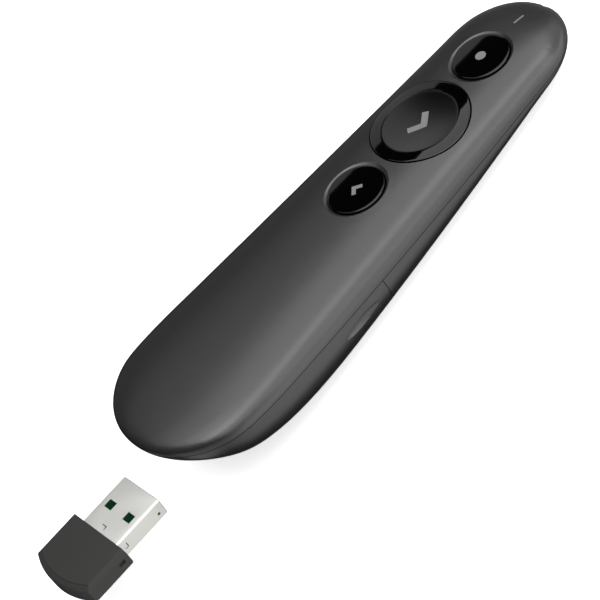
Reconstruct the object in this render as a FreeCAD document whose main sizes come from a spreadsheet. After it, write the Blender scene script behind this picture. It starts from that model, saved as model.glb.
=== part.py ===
# Wireless presentation clicker: a handset with three buttons, a battery door and a plug-in receiver.
#
# Frame: millimetres, +Z up, +Y towards the nose that points at the screen, +X to the holder's right.
# The origin is the middle of the flat that the belly rests on.
# Stations are measured along the body from the tail tip, heights from the belly before its flat is cut.
import FreeCAD, Part
import Sketcher
import math
import os
from FreeCAD import Placement, Rotation, Vector

os.makedirs("parts", exist_ok=True)
doc = FreeCAD.newDocument("presentation_clicker")
sheet = doc.addObject("Spreadsheet::Sheet", "Sizes")

SIZES = [
    # Body outline
    ("body_length", 131.3),
    ("body_width", 38.8),
    ("nose_width", 26.8),
    ("widest_station", 25.6),
    ("tail_round_length", 18.25),
    ("nose_round_length", 15.2),
    ("crown_tail", 27.4),
    ("crown_middle", 20.24),
    ("crown_nose", 12.39),
    ("parting_tail", 23.59),
    ("parting_middle", 14.06),
    ("parting_nose", 7.88),
    ("rest_station", 49.1),
    ("belly_rise_tail", 17.92),
    ("belly_rise_nose", 5.18),
    ("rest_flat_depth", 0.3),
    ("tip_flat", 0.04),
    # Shells
    ("wall", 1.4),
    ("deck_height", 28.14),
    ("parting_gap", 0.16),
    ("seam_station", 57.4),
    ("boss_diameter", 4.2),
    ("grip_station", 49.2),
    ("grip_length", 12.5),
    ("grip_height", 3.4),
    ("grip_depth", 0.8),
    ("grip_drop", 3.9),
    # Buttons
    ("back_station", 71.0),
    ("next_station", 91.6),
    ("laser_station", 111.8),
    ("small_button_diameter", 13.2),
    ("small_rim_diameter", 15.2),
    ("small_rim_depth", 0.45),
    ("next_ring_diameter", 23.0),
    ("next_dish_diameter", 17.5),
    ("next_dish_drop", 0.45),
    ("next_dish_depth", 0.65),
    ("button_gap", 0.2),
    ("button_travel", 0.5),
    ("button_lip", 0.65),
    ("button_lip_thickness", 0.45),
    ("button_depth", 2.4),
    ("next_skirt_depth", 3.4),
    ("icon_thickness", 0.2),
    ("dot_diameter", 2.5),
    ("next_chevron_height", 6.9),
    ("next_chevron_reach", 2.6),
    ("next_chevron_stroke", 1.55),
    ("back_chevron_height", 3.5),
    ("back_chevron_reach", 1.7),
    ("back_chevron_stroke", 0.95),
    ("plunger_diameter", 2.0),
    ("plunger_engagement", 0.1),
    ("plunger_clearance", 0.15),
    # Circuit board and what it carries
    ("board_depth", 4.6),
    ("board_thickness", 1.0),
    ("board_tail_width", 24.0),
    ("board_front_width", 20.0),
    ("board_prong_width", 16.0),
    ("board_tail_station", 64.3),
    ("board_notch_station", 113.6),
    ("board_front_station", 125.2),
    ("board_notch_width", 5.4),
    ("switch_side", 4.5),
    ("switch_height", 1.6),
    ("switch_bore_end_room", 0.2),
    ("chip_side", 6.0),
    ("chip_thickness", 0.9),
    ("small_part_length", 1.6),
    ("small_part_width", 0.8),
    ("small_part_height", 0.6),
    ("small_part_pitch", 2.4),
    ("tail_screw_station", 76.4),
    ("tail_screw_spread", 19.0),
    ("front_screw_station", 106.2),
    ("front_screw_spread", 16.8),
    ("screw_diameter", 1.6),
    ("screw_length", 3.2),
    ("screw_head_diameter", 3.0),
    ("screw_head_height", 0.9),
    ("screw_clearance", 0.05),
    # Laser and status light
    ("laser_height", 8.3),
    ("barrel_diameter", 4.0),
    ("barrel_station", 114.6),
    ("barrel_length", 8.0),
    ("barrel_wall", 0.3),
    ("barrel_front_wall", 1.0),
    ("diode_diameter", 3.2),
    ("diode_length", 2.6),
    ("diode_stand_off", 0.7),
    ("lens_diameter", 3.3),
    ("lens_thickness", 1.3),
    ("beam_diameter", 2.2),
    ("window_inset", 0.8),
    ("window_thickness", 0.6),
    ("laser_clearance", 0.05),
    ("light_station", 124.1),
    ("light_length", 3.2),
    ("light_width", 0.6),
    ("light_bar_reach", 4.6),
    ("light_bar_thickness", 0.5),
    ("led_width", 1.2),
    ("led_height", 0.6),
    ("led_gap", 0.15),
    # Cells, their frame and contacts
    ("cell_diameter", 10.5),
    ("cell_length", 44.5),
    ("cell_gap", 0.4),
    ("cell_nub_diameter", 3.8),
    ("cell_nub_length", 0.9),
    ("cell_along", 14.0),
    ("cell_depth", 7.45),
    ("cell_clearance", 0.2),
    ("spring_length", 3.9),
    ("spring_diameter", 6.4),
    ("spring_wire", 0.4),
    ("contact_thickness", 0.35),
    ("contact_width", 8.0),
    ("contact_height", 7.0),
    ("frame_end_thickness", 1.3),
    ("frame_rail_thickness", 1.2),
    ("frame_rail_height", 6.0),
    ("frame_rail_drop", 4.0),
    ("frame_flange_along", 6.0),
    ("frame_flange_length", 36.0),
    ("frame_flange_reach", 2.1),
    ("frame_flange_thickness", 1.0),
    ("frame_ear_along", 22.0),
    ("frame_ear_length", 6.0),
    ("frame_ear_reach", 3.6),
    ("frame_ear_thickness", 1.6),
    ("frame_ear_rise", 0.85),
    ("ridge_gap", 0.3),
    ("ridge_thickness", 1.0),
    ("ridge_side_gap", 0.5),
    # Receiver, in its own frame: origin at the middle of the shield's root
    ("shield_width", 12.0),
    ("shield_height", 4.5),
    ("shield_length", 12.6),
    ("shield_root", 5.0),
    ("shield_sheet", 0.3),
    ("shield_window_width", 2.3),
    ("shield_window_length", 2.0),
    ("shield_window_spread", 6.4),
    ("shield_window_setback", 6.3),
    ("cap_width", 18.7),
    ("cap_thickness", 6.1),
    ("cap_length", 13.5),
    ("cap_end_radius", 18.7),
    ("cap_chamfer", 1.1),
    ("cap_cavity_depth", 9.5),
    ("tongue_thickness", 1.9),
    ("tongue_clearance", 0.1),
    ("pad_width", 1.3),
    ("pad_length", 7.0),
    ("pad_pitch", 2.3),
    ("pad_thickness", 0.15),
    ("receiver_board_thickness", 0.8),
    ("receiver_chip_side", 3.6),
    ("receiver_chip_thickness", 0.7),
    ("receiver_setback", 16.5),
    ("receiver_depth", 16.15),
    ("receiver_travel", 43.5),
    ("bay_clearance", 0.25),
    ("bay_wall", 0.9),
    ("bay_roof", 0.6),
    ("bay_end_room", 0.8),
    ("bay_end_thickness", 1.0),
    # Cuts run past what they cut by this much
    ("overrun", 3.0),
]
# Angle in degrees by which the deck of the buttons, the cells, the door and the receiver fall to the nose
DECK_TILT_ANGLE = 6.8
# Powers of the rounded outlines, and counts
END_ROUND_SHARE = 2.09
TAPER_SHARE = 1.08
TAIL_NARROW_SHARE = 0.04
UPPER_ROUND_SHARE = 3.03
LOWER_ROUND_SHARE = 2.21
BELLY_TAIL_SHARE = 2.8
BELLY_NOSE_SHARE = 2.0
SECTION_COUNT = 25
SECTION_POINTS_PER_QUARTER = 8
SPRING_TURNS = 4
QUARTERS_PER_TURN = 4
SMALL_PART_COLUMNS = 3
SMALL_PART_ROWS = 2
CONTACT_PAD_COUNT = 4

for row, (alias, value) in enumerate(SIZES, start=1):
    sheet.set("A%d" % row, alias)
    sheet.set("B%d" % row, str(value))
    sheet.setAlias("B%d" % row, alias)
doc.recompute()


def size(alias):
    """A driving dimension, read from the sheet."""
    return float(sheet.get(alias))


LENGTH = size("body_length")
OVERRUN = size("overrun")
TILT = math.radians(DECK_TILT_ANGLE)
PARTS = []


# Outline of the body

def rounding(run, reach):
    """Share of the full section at a distance reach from an end that is rounded over run."""
    left = 1 - min(max(reach / run, 0), 1)
    return (1 - left ** END_ROUND_SHARE) ** (1 / END_ROUND_SHARE)


def end_share(station, inset=0):
    """Share of the full section at a station, with both ends rounded."""
    tail = rounding(size("tail_round_length") - inset, station - inset)
    nose = rounding(size("nose_round_length") - inset, LENGTH - inset - station)
    return tail * nose


def bow(tail, middle, nose, station):
    """Height of the even curve through the tail, middle and nose heights."""
    k = station / LENGTH
    return tail * (1 - k) * (1 - 2 * k) + middle * 4 * k * (1 - k) + nose * k * (2 * k - 1)


def full_half_width(station):
    """Half the width before the ends are rounded."""
    widest = size("widest_station")
    ahead = max(station - widest, 0) / (LENGTH - widest)
    behind = max(widest - station, 0) / widest
    taper = (size("body_width") - size("nose_width")) * ahead ** TAPER_SHARE
    return (size("body_width") - taper) * (1 - TAIL_NARROW_SHARE * behind ** 2) / 2


def parting(station):
    """Height of the line where the upper and lower shells meet."""
    return bow(size("parting_tail"), size("parting_middle"), size("parting_nose"), station)


def full_belly(station):
    """Height of the belly before the ends are rounded."""
    rest = size("rest_station")
    if station < rest:
        return size("belly_rise_tail") * ((rest - station) / rest) ** BELLY_TAIL_SHARE
    return size("belly_rise_nose") * ((station - rest) / (LENGTH - rest)) ** BELLY_NOSE_SHARE


def half_width(station, inset=0):
    return (full_half_width(station) - inset) * end_share(station, inset)


def crown(station, inset=0):
    """Height of the top line, drawn in by inset."""
    full = bow(size("crown_tail"), size("crown_middle"), size("crown_nose"), station)
    rise = full - inset - parting(station)
    return parting(station) + rise * end_share(station, inset)


def belly(station, inset=0):
    """Height of the bottom line, drawn in by inset."""
    drop = parting(station) - full_belly(station) - inset
    return parting(station) - drop * end_share(station, inset)


def ceiling(station, side):
    """Height of the upper shell's inner face at a distance side from the middle."""
    wall = size("wall")
    out = min(abs(side) / half_width(station, wall), 1)
    share = (1 - out ** UPPER_ROUND_SHARE) ** (1 / UPPER_ROUND_SHARE)
    return parting(station) + (crown(station, wall) - parting(station)) * share


def crown_tilt(tail_station, nose_station):
    """Angle in degrees by which the crown falls between two stations."""
    fall = crown(tail_station) - crown(nose_station)
    return math.degrees(math.atan2(fall, nose_station - tail_station))


def section(station, inset):
    """Closed wire of the body's section: a flatter round above the parting line, a fuller one below."""
    wide = half_width(station, inset)
    middle = parting(station)
    points = []
    count = 4 * SECTION_POINTS_PER_QUARTER
    for step in range(count):
        angle = 2 * math.pi * step / count - math.pi / 2
        power = UPPER_ROUND_SHARE if math.sin(angle) > 0 else LOWER_ROUND_SHARE
        tall = crown(station, inset) - middle if math.sin(angle) > 0 else middle - belly(station, inset)
        reach = (abs(math.cos(angle)) ** power + abs(math.sin(angle)) ** power) ** (-1 / power)
        points.append(Vector(wide * reach * math.cos(angle), station, middle + tall * reach * math.sin(angle)))
    curve = Part.BSplineCurve()
    curve.interpolate(points, PeriodicFlag=True)
    return Part.Wire([curve.toShape()])


def body_solid(inset):
    """The whole body's outer form, drawn in all over by inset."""
    first = inset + size("tip_flat")
    last = LENGTH - inset - size("tip_flat")
    wires = []
    for step in range(SECTION_COUNT):
        share = (1 - math.cos(math.pi * step / (SECTION_COUNT - 1))) / 2
        wires.append(section(first + (last - first) * share, inset))
    return Part.makeLoft(wires, True, False)


def parting_block(shift, upward):
    """Everything above, or below, the parting line moved up by shift."""
    edge = []
    for step in range(SECTION_COUNT):
        station = -OVERRUN + (LENGTH + 2 * OVERRUN) * step / (SECTION_COUNT - 1)
        edge.append(Vector(-size("body_width"), station, parting(station) + shift))
    curve = Part.BSplineCurve()
    curve.interpolate(edge)
    far = 2 * size("crown_tail") if upward else -size("crown_tail")
    first = Vector(edge[0].x, edge[0].y, far)
    last = Vector(edge[-1].x, edge[-1].y, far)
    lines = [Part.makeLine(edge[-1], last), Part.makeLine(last, first), Part.makeLine(first, edge[0])]
    face = Part.Face(Part.Wire([curve.toShape()] + lines))
    return face.extrude(Vector(2 * size("body_width"), 0, 0))


# Frames of the pieces

def place(station, height, tilt=0, side=0):
    """Placement of a frame that stands at a station and height, its nose end tilted down."""
    base = Vector(side, station - size("rest_station"), height - size("rest_flat_depth"))
    return Placement(base, Rotation(Vector(1, 0, 0), -tilt))


def deck_frame(along, depth):
    """Frame at a distance along the deck line and a depth square under it, tilted as the deck."""
    station = along * math.cos(TILT) - depth * math.sin(TILT)
    height = size("deck_height") - along * math.sin(TILT) - depth * math.cos(TILT)
    return station, height, DECK_TILT_ANGLE


def on_deck(station, depth=0):
    """Frame square under the deck's point at a station."""
    return deck_frame(station / math.cos(TILT), depth)


def in_body(shape, station, height, tilt=0, side=0):
    """A copy of a shape from a piece's own frame, in the body's stations and heights."""
    frame = Placement(Vector(side, station, height), Rotation(Vector(1, 0, 0), -tilt))
    moved = shape.copy()
    moved.Placement = frame.multiply(shape.Placement)
    return moved


def in_frame(shape, station, height, tilt=0):
    """A copy of a shape from the body's stations and heights, in a piece's own frame."""
    frame = Placement(Vector(0, station, height), Rotation(Vector(1, 0, 0), -tilt))
    moved = shape.copy()
    moved.Placement = frame.inverse().multiply(shape.Placement)
    return moved


def pair(shape):
    """A shape together with its mirror image across the middle."""
    return shape.fuse(shape.mirror(Vector(0, 0, 0), Vector(1, 0, 0)))


def drum(diameter, low, high):
    """Upright cylinder about the frame's Z between two heights."""
    return Part.makeCylinder(diameter / 2, high - low, Vector(0, 0, low))


def rod(diameter, start, end, side=0, height=0):
    """Lying cylinder along the frame's Y between two stations."""
    return Part.makeCylinder(diameter / 2, end - start, Vector(side, start, height), Vector(0, 1, 0))


def block(low, high):
    """Box between two corners."""
    span = high - low
    return Part.makeBox(span.x, span.y, span.z, low)


def one_solid(shape):
    """The largest solid of a boolean result."""
    return max(shape.Solids, key=lambda solid: solid.Volume)


def finish(obj, label, placement):
    """Name a sub-part, put it in its place and note it for writing."""
    obj.Label = label
    obj.Placement = placement
    PARTS.append(obj)
    return obj


def shaped(label, shape, placement):
    """A sub-part whose free form is worked out above."""
    obj = doc.addObject("Part::Feature", label)
    obj.Shape = shape
    return finish(obj, label, placement)


def primitive(kind, name, at=("0", "0", "0"), turn=None, **sizes):
    """A Part primitive whose sizes and place follow the sheet."""
    obj = doc.addObject("Part::" + kind, name)
    if turn:
        obj.Placement = Placement(Vector(0, 0, 0), turn)
    for prop, text in sizes.items():
        obj.setExpression(prop, text)
    for axis, text in zip("xyz", at):
        obj.setExpression("Placement.Base." + axis, text)
    return obj


def box(name, width, length, height, y="0", z="0", x="0"):
    """Box centred across x, standing from y along and from z up."""
    at = ("%s - (%s) / 2" % (x, width), y, z)
    return primitive("Box", name, at, Length=width, Width=length, Height=height)


ALONG = Rotation(Vector(1, 0, 0), -90)


def pin(name, diameter, length, y="0", z="0", x="0", upright=False):
    """Round bar along Y from y, or upright from z."""
    radius = "(%s) / 2" % diameter
    return primitive("Cylinder", name, (x, y, z), None if upright else ALONG, Radius=radius, Height=length)


def fuse(name, *pieces):
    obj = doc.addObject("Part::MultiFuse", name)
    obj.Shapes = list(pieces)
    return obj


def cut(name, base, tool):
    obj = doc.addObject("Part::Cut", name)
    obj.Base = base
    obj.Tool = tool
    return obj


def common(name, *pieces):
    obj = doc.addObject("Part::MultiCommon", name)
    obj.Shapes = list(pieces)
    return obj


def group(name, *pieces):
    """Separate identical pieces kept together."""
    obj = doc.addObject("Part::Compound", name)
    obj.Links = list(pieces)
    return obj


# The receiver's line: it slides down and forwards into the bay

RECEIVER_FRAME = deck_frame(-size("receiver_setback"), size("receiver_depth"))
STOWED_FRAME = deck_frame(size("receiver_travel") - size("receiver_setback"), size("receiver_depth"))


def cap_profile(grow):
    """Corners of the cap's chamfered section across its length, grown all round."""
    half = size("cap_width") / 2 + grow
    rise = size("cap_thickness") / 2 + grow
    cham = size("cap_chamfer")
    quarter = [(half, rise - cham), (half - cham, rise)]
    corners = quarter + [(-x, z) for x, z in reversed(quarter)]
    return corners + [(-x, -z) for x, z in corners]


def bay_room():
    """The room that the receiver needs in the bay, in the body's stations and heights."""
    clear = size("bay_clearance")
    ring = [Vector(x, -2 * size("cap_length"), z) for x, z in cap_profile(clear)]
    cap_room = Part.Face(Part.makePolygon(ring + ring[:1])).extrude(Vector(0, 2 * size("cap_length") + clear, 0))
    half = size("shield_width") / 2 + clear
    rise = size("shield_height") / 2 + clear
    tip = size("shield_length") + size("bay_end_room")
    shield_room = block(Vector(-half, 0, -rise), Vector(half, tip, rise))
    return in_body(cap_room.fuse(shield_room), *STOWED_FRAME)


def bay_block():
    """Pocket for the cap and tunnel for the shield, standing on ribs on the door's floor, before the room is cut."""
    clear = size("bay_clearance")
    wall = size("bay_wall")
    floor = -2 * size("shield_height")
    half = size("shield_width") / 2 + clear
    rise = size("shield_height") / 2 + clear
    tip = size("shield_length") + size("bay_end_room") + size("bay_end_thickness")
    tunnel = block(Vector(-half - wall, clear, -rise - wall), Vector(half + wall, tip, rise + size("bay_roof")))
    tunnel = tunnel.fuse(pair(block(Vector(half, clear, floor), Vector(half + wall, tip, 0))))
    out = size("cap_width") / 2 + clear
    high = size("cap_thickness") / 2
    back = -size("cap_length")
    pocket = block(Vector(-out - wall, back, -high - clear - wall), Vector(out + wall, clear + wall, high))
    pocket = pocket.fuse(pair(block(Vector(out, back, floor), Vector(out + wall, clear + wall, 0))))
    return in_body(tunnel.fuse(pocket), *STOWED_FRAME)


# Buttons stand square to the crown, each in a frame whose Z is the crown's outward normal

BUTTONS = ("back", "next", "laser")


def button_frame(button):
    """Station, height and tilt of a button's frame on the deck."""
    return on_deck(size(button + "_station"))


BOARD_FRAME = on_deck(size("next_station"), size("board_depth"))
OUTER = body_solid(0)
INNER = body_solid(size("wall"))
SEATED = body_solid(size("wall") / 2)


def along_board(station):
    """Distance from the board frame's origin to a station."""
    return (station - size("next_station")) / math.cos(TILT)


def board_screw_places():
    """Side and along-board distance of each board screw."""
    places = []
    for end in ("tail", "front"):
        for side in (-1, 1):
            spread = side * size(end + "_screw_spread") / 2
            places.append((spread, along_board(size(end + "_screw_station"))))
    return places


CELL_FRAME = deck_frame(size("cell_along"), size("cell_depth"))
CELL_HALF_SPREAD = (size("cell_diameter") + size("cell_gap")) / 2
FRAME_HALF_WIDTH = CELL_HALF_SPREAD + size("cell_diameter") / 2 + size("cell_clearance") + size("frame_rail_thickness")
FRAME_SCREW_SIDE = FRAME_HALF_WIDTH + size("frame_ear_reach") / 2


def seated_boss(side, along, frame, foot, plate):
    """Boss from a foot up into the upper shell's wall, with the hole of a screw that passes a plate first."""
    post = drum(size("boss_diameter"), foot, size("crown_tail"))
    post.translate(Vector(side, along, 0))
    clear = size("screw_clearance")
    hole = drum(size("screw_diameter") + 2 * clear, foot - OVERRUN, foot + size("screw_length") - plate + clear)
    hole.translate(Vector(side, along, 0))
    return in_body(post, *frame).common(SEATED), in_body(hole, *frame)


def top_shell():
    shell = OUTER.cut(INNER).common(parting_block(0, True))
    board = size("board_thickness")
    ear = size("frame_ear_thickness")
    bosses = [seated_boss(side, along, BOARD_FRAME, 0, board) for side, along in board_screw_places()]
    for side in (-1, 1):
        spot = (side * FRAME_SCREW_SIDE, size("frame_ear_along"))
        bosses.append(seated_boss(*spot, CELL_FRAME, size("frame_ear_rise") + ear, ear))
    for boss, hole in bosses:
        shell = shell.fuse(boss)
    for boss, hole in bosses:
        shell = shell.cut(hole)
    for button in BUTTONS:
        diameter = size("next_ring_diameter") if button == "next" else size("small_button_diameter")
        well = drum(diameter + 2 * size("button_gap"), -size("next_skirt_depth"), OVERRUN)
        if button != "next":
            well = well.fuse(rim_dish())
        shell = shell.cut(in_body(well, *button_frame(button)))
    shell = shell.cut(light_slot()).cut(beam_tunnel())
    shaped("top_shell", one_solid(shell), place(0, 0))


def rim_dish():
    """Shallow cone that dishes the shell round a small button."""
    low = size("small_button_diameter") / 2 + size("button_gap")
    high = size("small_rim_diameter") / 2
    depth = size("small_rim_depth")
    reach = high + (high - low) * OVERRUN / depth
    return Part.makeCone(low, reach, depth + OVERRUN, Vector(0, 0, -depth))


def light_slot():
    half = size("light_width") / 2
    run = size("light_length") / 2
    slot = block(Vector(-half, -run, -2 * size("wall")), Vector(half, run, OVERRUN))
    station = size("light_station")
    return in_body(slot, station, crown(station), crown_tilt(station - run, station + run))


def beam_tunnel():
    start = size("barrel_station") + size("barrel_length")
    return rod(size("beam_diameter"), start, LENGTH + OVERRUN, 0, size("laser_height"))


def front_lower_shell():
    gap = size("parting_gap")
    shell = OUTER.cut(INNER).common(parting_block(-gap, False))
    start = size("barrel_station")
    half = size("barrel_diameter") / 2 + size("barrel_wall")
    cradle = block(Vector(-half, start, 0), Vector(half, start + size("barrel_length"), size("laser_height")))
    shell = shell.fuse(cradle.common(SEATED).common(parting_block(-gap, False)))
    for station in (size("tail_screw_station"), size("front_screw_station")):
        post = drum(size("boss_diameter"), -size("crown_tail"), -size("board_thickness") - size("screw_clearance"))
        post.translate(Vector(0, along_board(station), 0))
        shell = shell.fuse(in_body(post, *BOARD_FRAME).common(SEATED))
    room = rod(size("barrel_diameter") + 2 * size("laser_clearance"), start - OVERRUN, start + size("barrel_length"),
               0, size("laser_height"))
    shell = shell.cut(room).cut(beam_tunnel())
    width = size("body_width")
    seam = size("seam_station") + gap / 2
    shell = shell.cut(block(Vector(-width, -OVERRUN, -OVERRUN), Vector(width, seam, LENGTH)))
    shaped("front_lower_shell", one_solid(shell.cut(floor_block())), place(0, 0))


def floor_block():
    """What is cut off the belly to make the flat that it rests on."""
    width = size("body_width")
    return block(Vector(-width, -OVERRUN, -OVERRUN), Vector(width, LENGTH + OVERRUN, size("rest_flat_depth")))


def finger_grip(side):
    """Long shallow pocket in the door's flank, where fingers push it."""
    station = size("grip_station")
    height = parting(station) - size("grip_drop")
    ball = Part.makeSphere(1)
    stretch = FreeCAD.Matrix()
    stretch.scale(2 * size("grip_depth"), size("grip_length") / 2, size("grip_height") / 2)
    pocket = ball.transformGeometry(stretch)
    lean = crown_tilt(station - size("grip_length") / 2, station + size("grip_length") / 2)
    reach = half_width(station) + size("grip_depth") / 2
    return in_body(pocket, station, height, lean, side * reach)


def door_ridges():
    """Ridges inside the door's flanks that run on top of the frame's flanges."""
    near = FRAME_HALF_WIDTH + size("ridge_side_gap")
    low = -size("frame_rail_drop") + size("frame_flange_thickness") + size("ridge_gap")
    start = size("frame_flange_along")
    end = start + size("frame_flange_length")
    ridge = block(Vector(near, start, low), Vector(size("body_width"), end, low + size("ridge_thickness")))
    return in_body(pair(ridge), *CELL_FRAME)


def battery_door():
    gap = size("parting_gap")
    shell = OUTER.cut(INNER)
    shell = shell.fuse(bay_block().common(SEATED))
    shell = shell.fuse(door_ridges().common(SEATED))
    shell = shell.common(parting_block(-gap, False))
    width = size("body_width")
    seam = size("seam_station") - gap / 2
    shell = shell.cut(block(Vector(-width, seam, -OVERRUN), Vector(width, LENGTH + OVERRUN, LENGTH)))
    shell = shell.cut(bay_room()).cut(floor_block())
    for side in (-1, 1):
        shell = shell.cut(finger_grip(side))
    shaped("battery_door", one_solid(shell), place(0, 0))


# Buttons

def small_button(button):
    """Cap whose top follows the crown, over a lip that keeps it in the shell."""
    frame = button_frame(button)
    diameter = size("small_button_diameter")
    depth = size("button_depth")
    cap = drum(diameter, -depth, OVERRUN).common(in_frame(OUTER, *frame))
    lip = drum(diameter + 2 * size("button_lip"), -depth, -depth + size("button_lip_thickness"))
    return cap.fuse(lip)


def chevron(name, pointing, low, high):
    """Angle mark whose corner points along X and whose arms end square, between two heights."""
    half = size(name + "_height") / 2
    reach = size(name + "_reach")
    stroke = size(name + "_stroke")
    arm = math.hypot(half, reach)
    back, side = stroke * half / arm, stroke * reach / arm
    tip = (reach + back) / 2
    upper = [(tip, 0), (tip - reach, half), (tip - reach - back, half - side), (tip - stroke * arm / half, 0)]
    outline = upper + [(x, -y) for x, y in reversed(upper[1:3])]
    ring = [Vector(pointing * x, y, low) for x, y in outline]
    return Part.Face(Part.makePolygon(ring + ring[:1])).extrude(Vector(0, 0, high - low))


def plunger(button):
    """Switch plunger that the button pushes."""
    top = "-Sizes.button_depth"
    low = "-(Sizes.board_depth - Sizes.switch_height + Sizes.plunger_engagement)"
    stem = pin(button + "_stem", "Sizes.plunger_diameter", "(%s) - (%s)" % (top, low), z=low, upright=True)
    finish(group(button + "_stem_alone", stem), button + "_plunger", place(*button_frame(button)))


def back_and_laser_buttons():
    thin = size("icon_thickness")
    dot = drum(size("dot_diameter"), -thin, OVERRUN)
    angle = chevron("back_chevron", -1, -thin, OVERRUN)
    for button, icon_label, mark in (("back", "back_chevron", angle), ("laser", "laser_dot", dot)):
        frame = button_frame(button)
        cap = small_button(button)
        shaped(button + "_cap", one_solid(cap.cut(mark)), place(*frame))
        shaped(icon_label, one_solid(mark.common(cap)), place(*frame))


def next_button():
    """Glossy ring that follows the crown round a lower matte dish with its chevron."""
    frame = button_frame("next")
    ring_diameter = size("next_ring_diameter")
    dish_diameter = size("next_dish_diameter")
    skirt = size("next_skirt_depth")
    drop = size("next_dish_drop")
    depth = size("button_depth")
    ring = drum(ring_diameter, -skirt, OVERRUN).common(in_frame(OUTER, *frame))
    lip = drum(ring_diameter + 2 * size("button_lip"), -skirt, -skirt + size("button_lip_thickness"))
    ledge = dish_diameter - 2 * size("button_lip")
    bore = drum(dish_diameter, -depth, OVERRUN).fuse(drum(ledge, -skirt - OVERRUN, OVERRUN))
    ring = ring.fuse(lip).cut(bore)
    sag = size("next_dish_depth")
    radius = ((dish_diameter / 2) ** 2 + sag ** 2) / (2 * sag)
    dish = drum(dish_diameter, -depth, -drop).cut(Part.makeSphere(radius, Vector(0, 0, radius - drop - sag)))
    mark = chevron("next_chevron", 1, -drop - sag - size("icon_thickness"), OVERRUN)
    shaped("next_ring", one_solid(ring), place(*frame))
    shaped("next_dish", one_solid(dish.cut(mark)), place(*frame))
    shaped("next_chevron", one_solid(mark.common(dish)), place(*frame))


# Circuit board, switches and chips

def plane_of(body, role):
    """One of a body's own origin planes."""
    return next(item for item in body.Origin.OriginFeatures if item.Role == role)


def circuit_board():
    body = doc.addObject("PartDesign::Body", "circuit_board_body")
    sketch = body.newObject("Sketcher::SketchObject", "board_outline")
    sketch.AttachmentSupport = [(plane_of(body, "XY_Plane"), "")]
    sketch.MapMode = "FlatFace"
    lean = "cos(%r deg)" % DECK_TILT_ANGLE
    stations = {}
    for name in ("board_tail", "board_notch", "board_front"):
        stations[name] = "(Sizes.%s_station - Sizes.next_station) / %s" % (name, lean)
    tail_half = "Sizes.board_tail_width / 2"
    front_half = "Sizes.board_front_width / 2"
    prong_half = "Sizes.board_prong_width / 2"
    notch_half = "Sizes.board_notch_width / 2"
    right = [(tail_half, stations["board_tail"]), (front_half, stations["board_notch"]),
             (prong_half, stations["board_front"]), (notch_half, stations["board_front"]),
             (notch_half, stations["board_notch"])]
    corners = right + [("-" + x, y) for x, y in reversed(right)]
    draw_outline(sketch, corners)
    pad = body.newObject("PartDesign::Pad", "board_sheet")
    pad.Profile = sketch
    pad.setExpression("Length", "Sizes.board_thickness")
    pad.Reversed = True
    doc.recompute()
    holes = body.newObject("Sketcher::SketchObject", "board_holes")
    holes.AttachmentSupport = [(plane_of(body, "XY_Plane"), "")]
    holes.MapMode = "FlatFace"
    for end in ("tail", "front"):
        for side in ("", "-"):
            centre = ("%sSizes.%s_screw_spread / 2" % (side, end),
                      "(Sizes.%s_screw_station - Sizes.next_station) / %s" % (end, lean))
            draw_circle(holes, centre, "Sizes.screw_diameter / 2 + Sizes.screw_clearance")
    pocket = body.newObject("PartDesign::Pocket", "board_screw_holes")
    pocket.Profile = holes
    pocket.setExpression("Length", "2 * Sizes.board_thickness")
    pocket.Midplane = True
    doc.recompute()
    finish(body, "circuit_board", place(*BOARD_FRAME))


def bind_point(sketch, geometry, point, place_texts):
    """Tie one point of a sketch to expressions for its distance from the sketch's origin."""
    for kind, text in zip(("DistanceX", "DistanceY"), place_texts):
        now = sketch.getPoint(geometry, point)
        value = now.x if kind == "DistanceX" else now.y
        index = sketch.addConstraint(Sketcher.Constraint(kind, -1, 1, geometry, point, value))
        sketch.setExpression("Constraints[%d]" % index, text)


def number(text):
    """Present value of an expression of the sheet."""
    return float(sheet.evalExpression(text.replace("Sizes.", "")))


def draw_outline(sketch, corners):
    """Closed outline of straight edges whose corners follow the sheet."""
    spots = [Vector(number(x), number(y), 0) for x, y in corners]
    for index, spot in enumerate(spots):
        sketch.addGeometry(Part.LineSegment(spot, spots[(index + 1) % len(spots)]))
    for index in range(len(spots)):
        sketch.addConstraint(Sketcher.Constraint("Coincident", index, 2, (index + 1) % len(spots), 1))
    for index, texts in enumerate(corners):
        bind_point(sketch, index, 1, texts)


def draw_circle(sketch, centre, radius):
    """Circle whose centre and radius follow the sheet."""
    spot = Vector(number(centre[0]), number(centre[1]), 0)
    index = sketch.addGeometry(Part.Circle(spot, Vector(0, 0, 1), number(radius)))
    bind_point(sketch, index, 3, centre)
    constraint = sketch.addConstraint(Sketcher.Constraint("Radius", index, number(radius)))
    sketch.setExpression("Constraints[%d]" % constraint, radius)


def board_place(station, side=0):
    """Placement on the board's upper face at a station."""
    return place(*on_deck(station, size("board_depth")), side)


def switches():
    depth = "(Sizes.plunger_engagement + Sizes.button_travel + Sizes.switch_bore_end_room)"
    for button in BUTTONS:
        case = box(button + "_case", "Sizes.switch_side", "Sizes.switch_side", "Sizes.switch_height",
                   y="-Sizes.switch_side / 2")
        bore = pin(button + "_bore", "Sizes.plunger_diameter + 2 * Sizes.plunger_clearance",
                   depth + " + Sizes.overrun", z="Sizes.switch_height - " + depth, upright=True)
        finish(cut(button + "_switch_case", case, bore), button + "_switch", board_place(size(button + "_station")))


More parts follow.
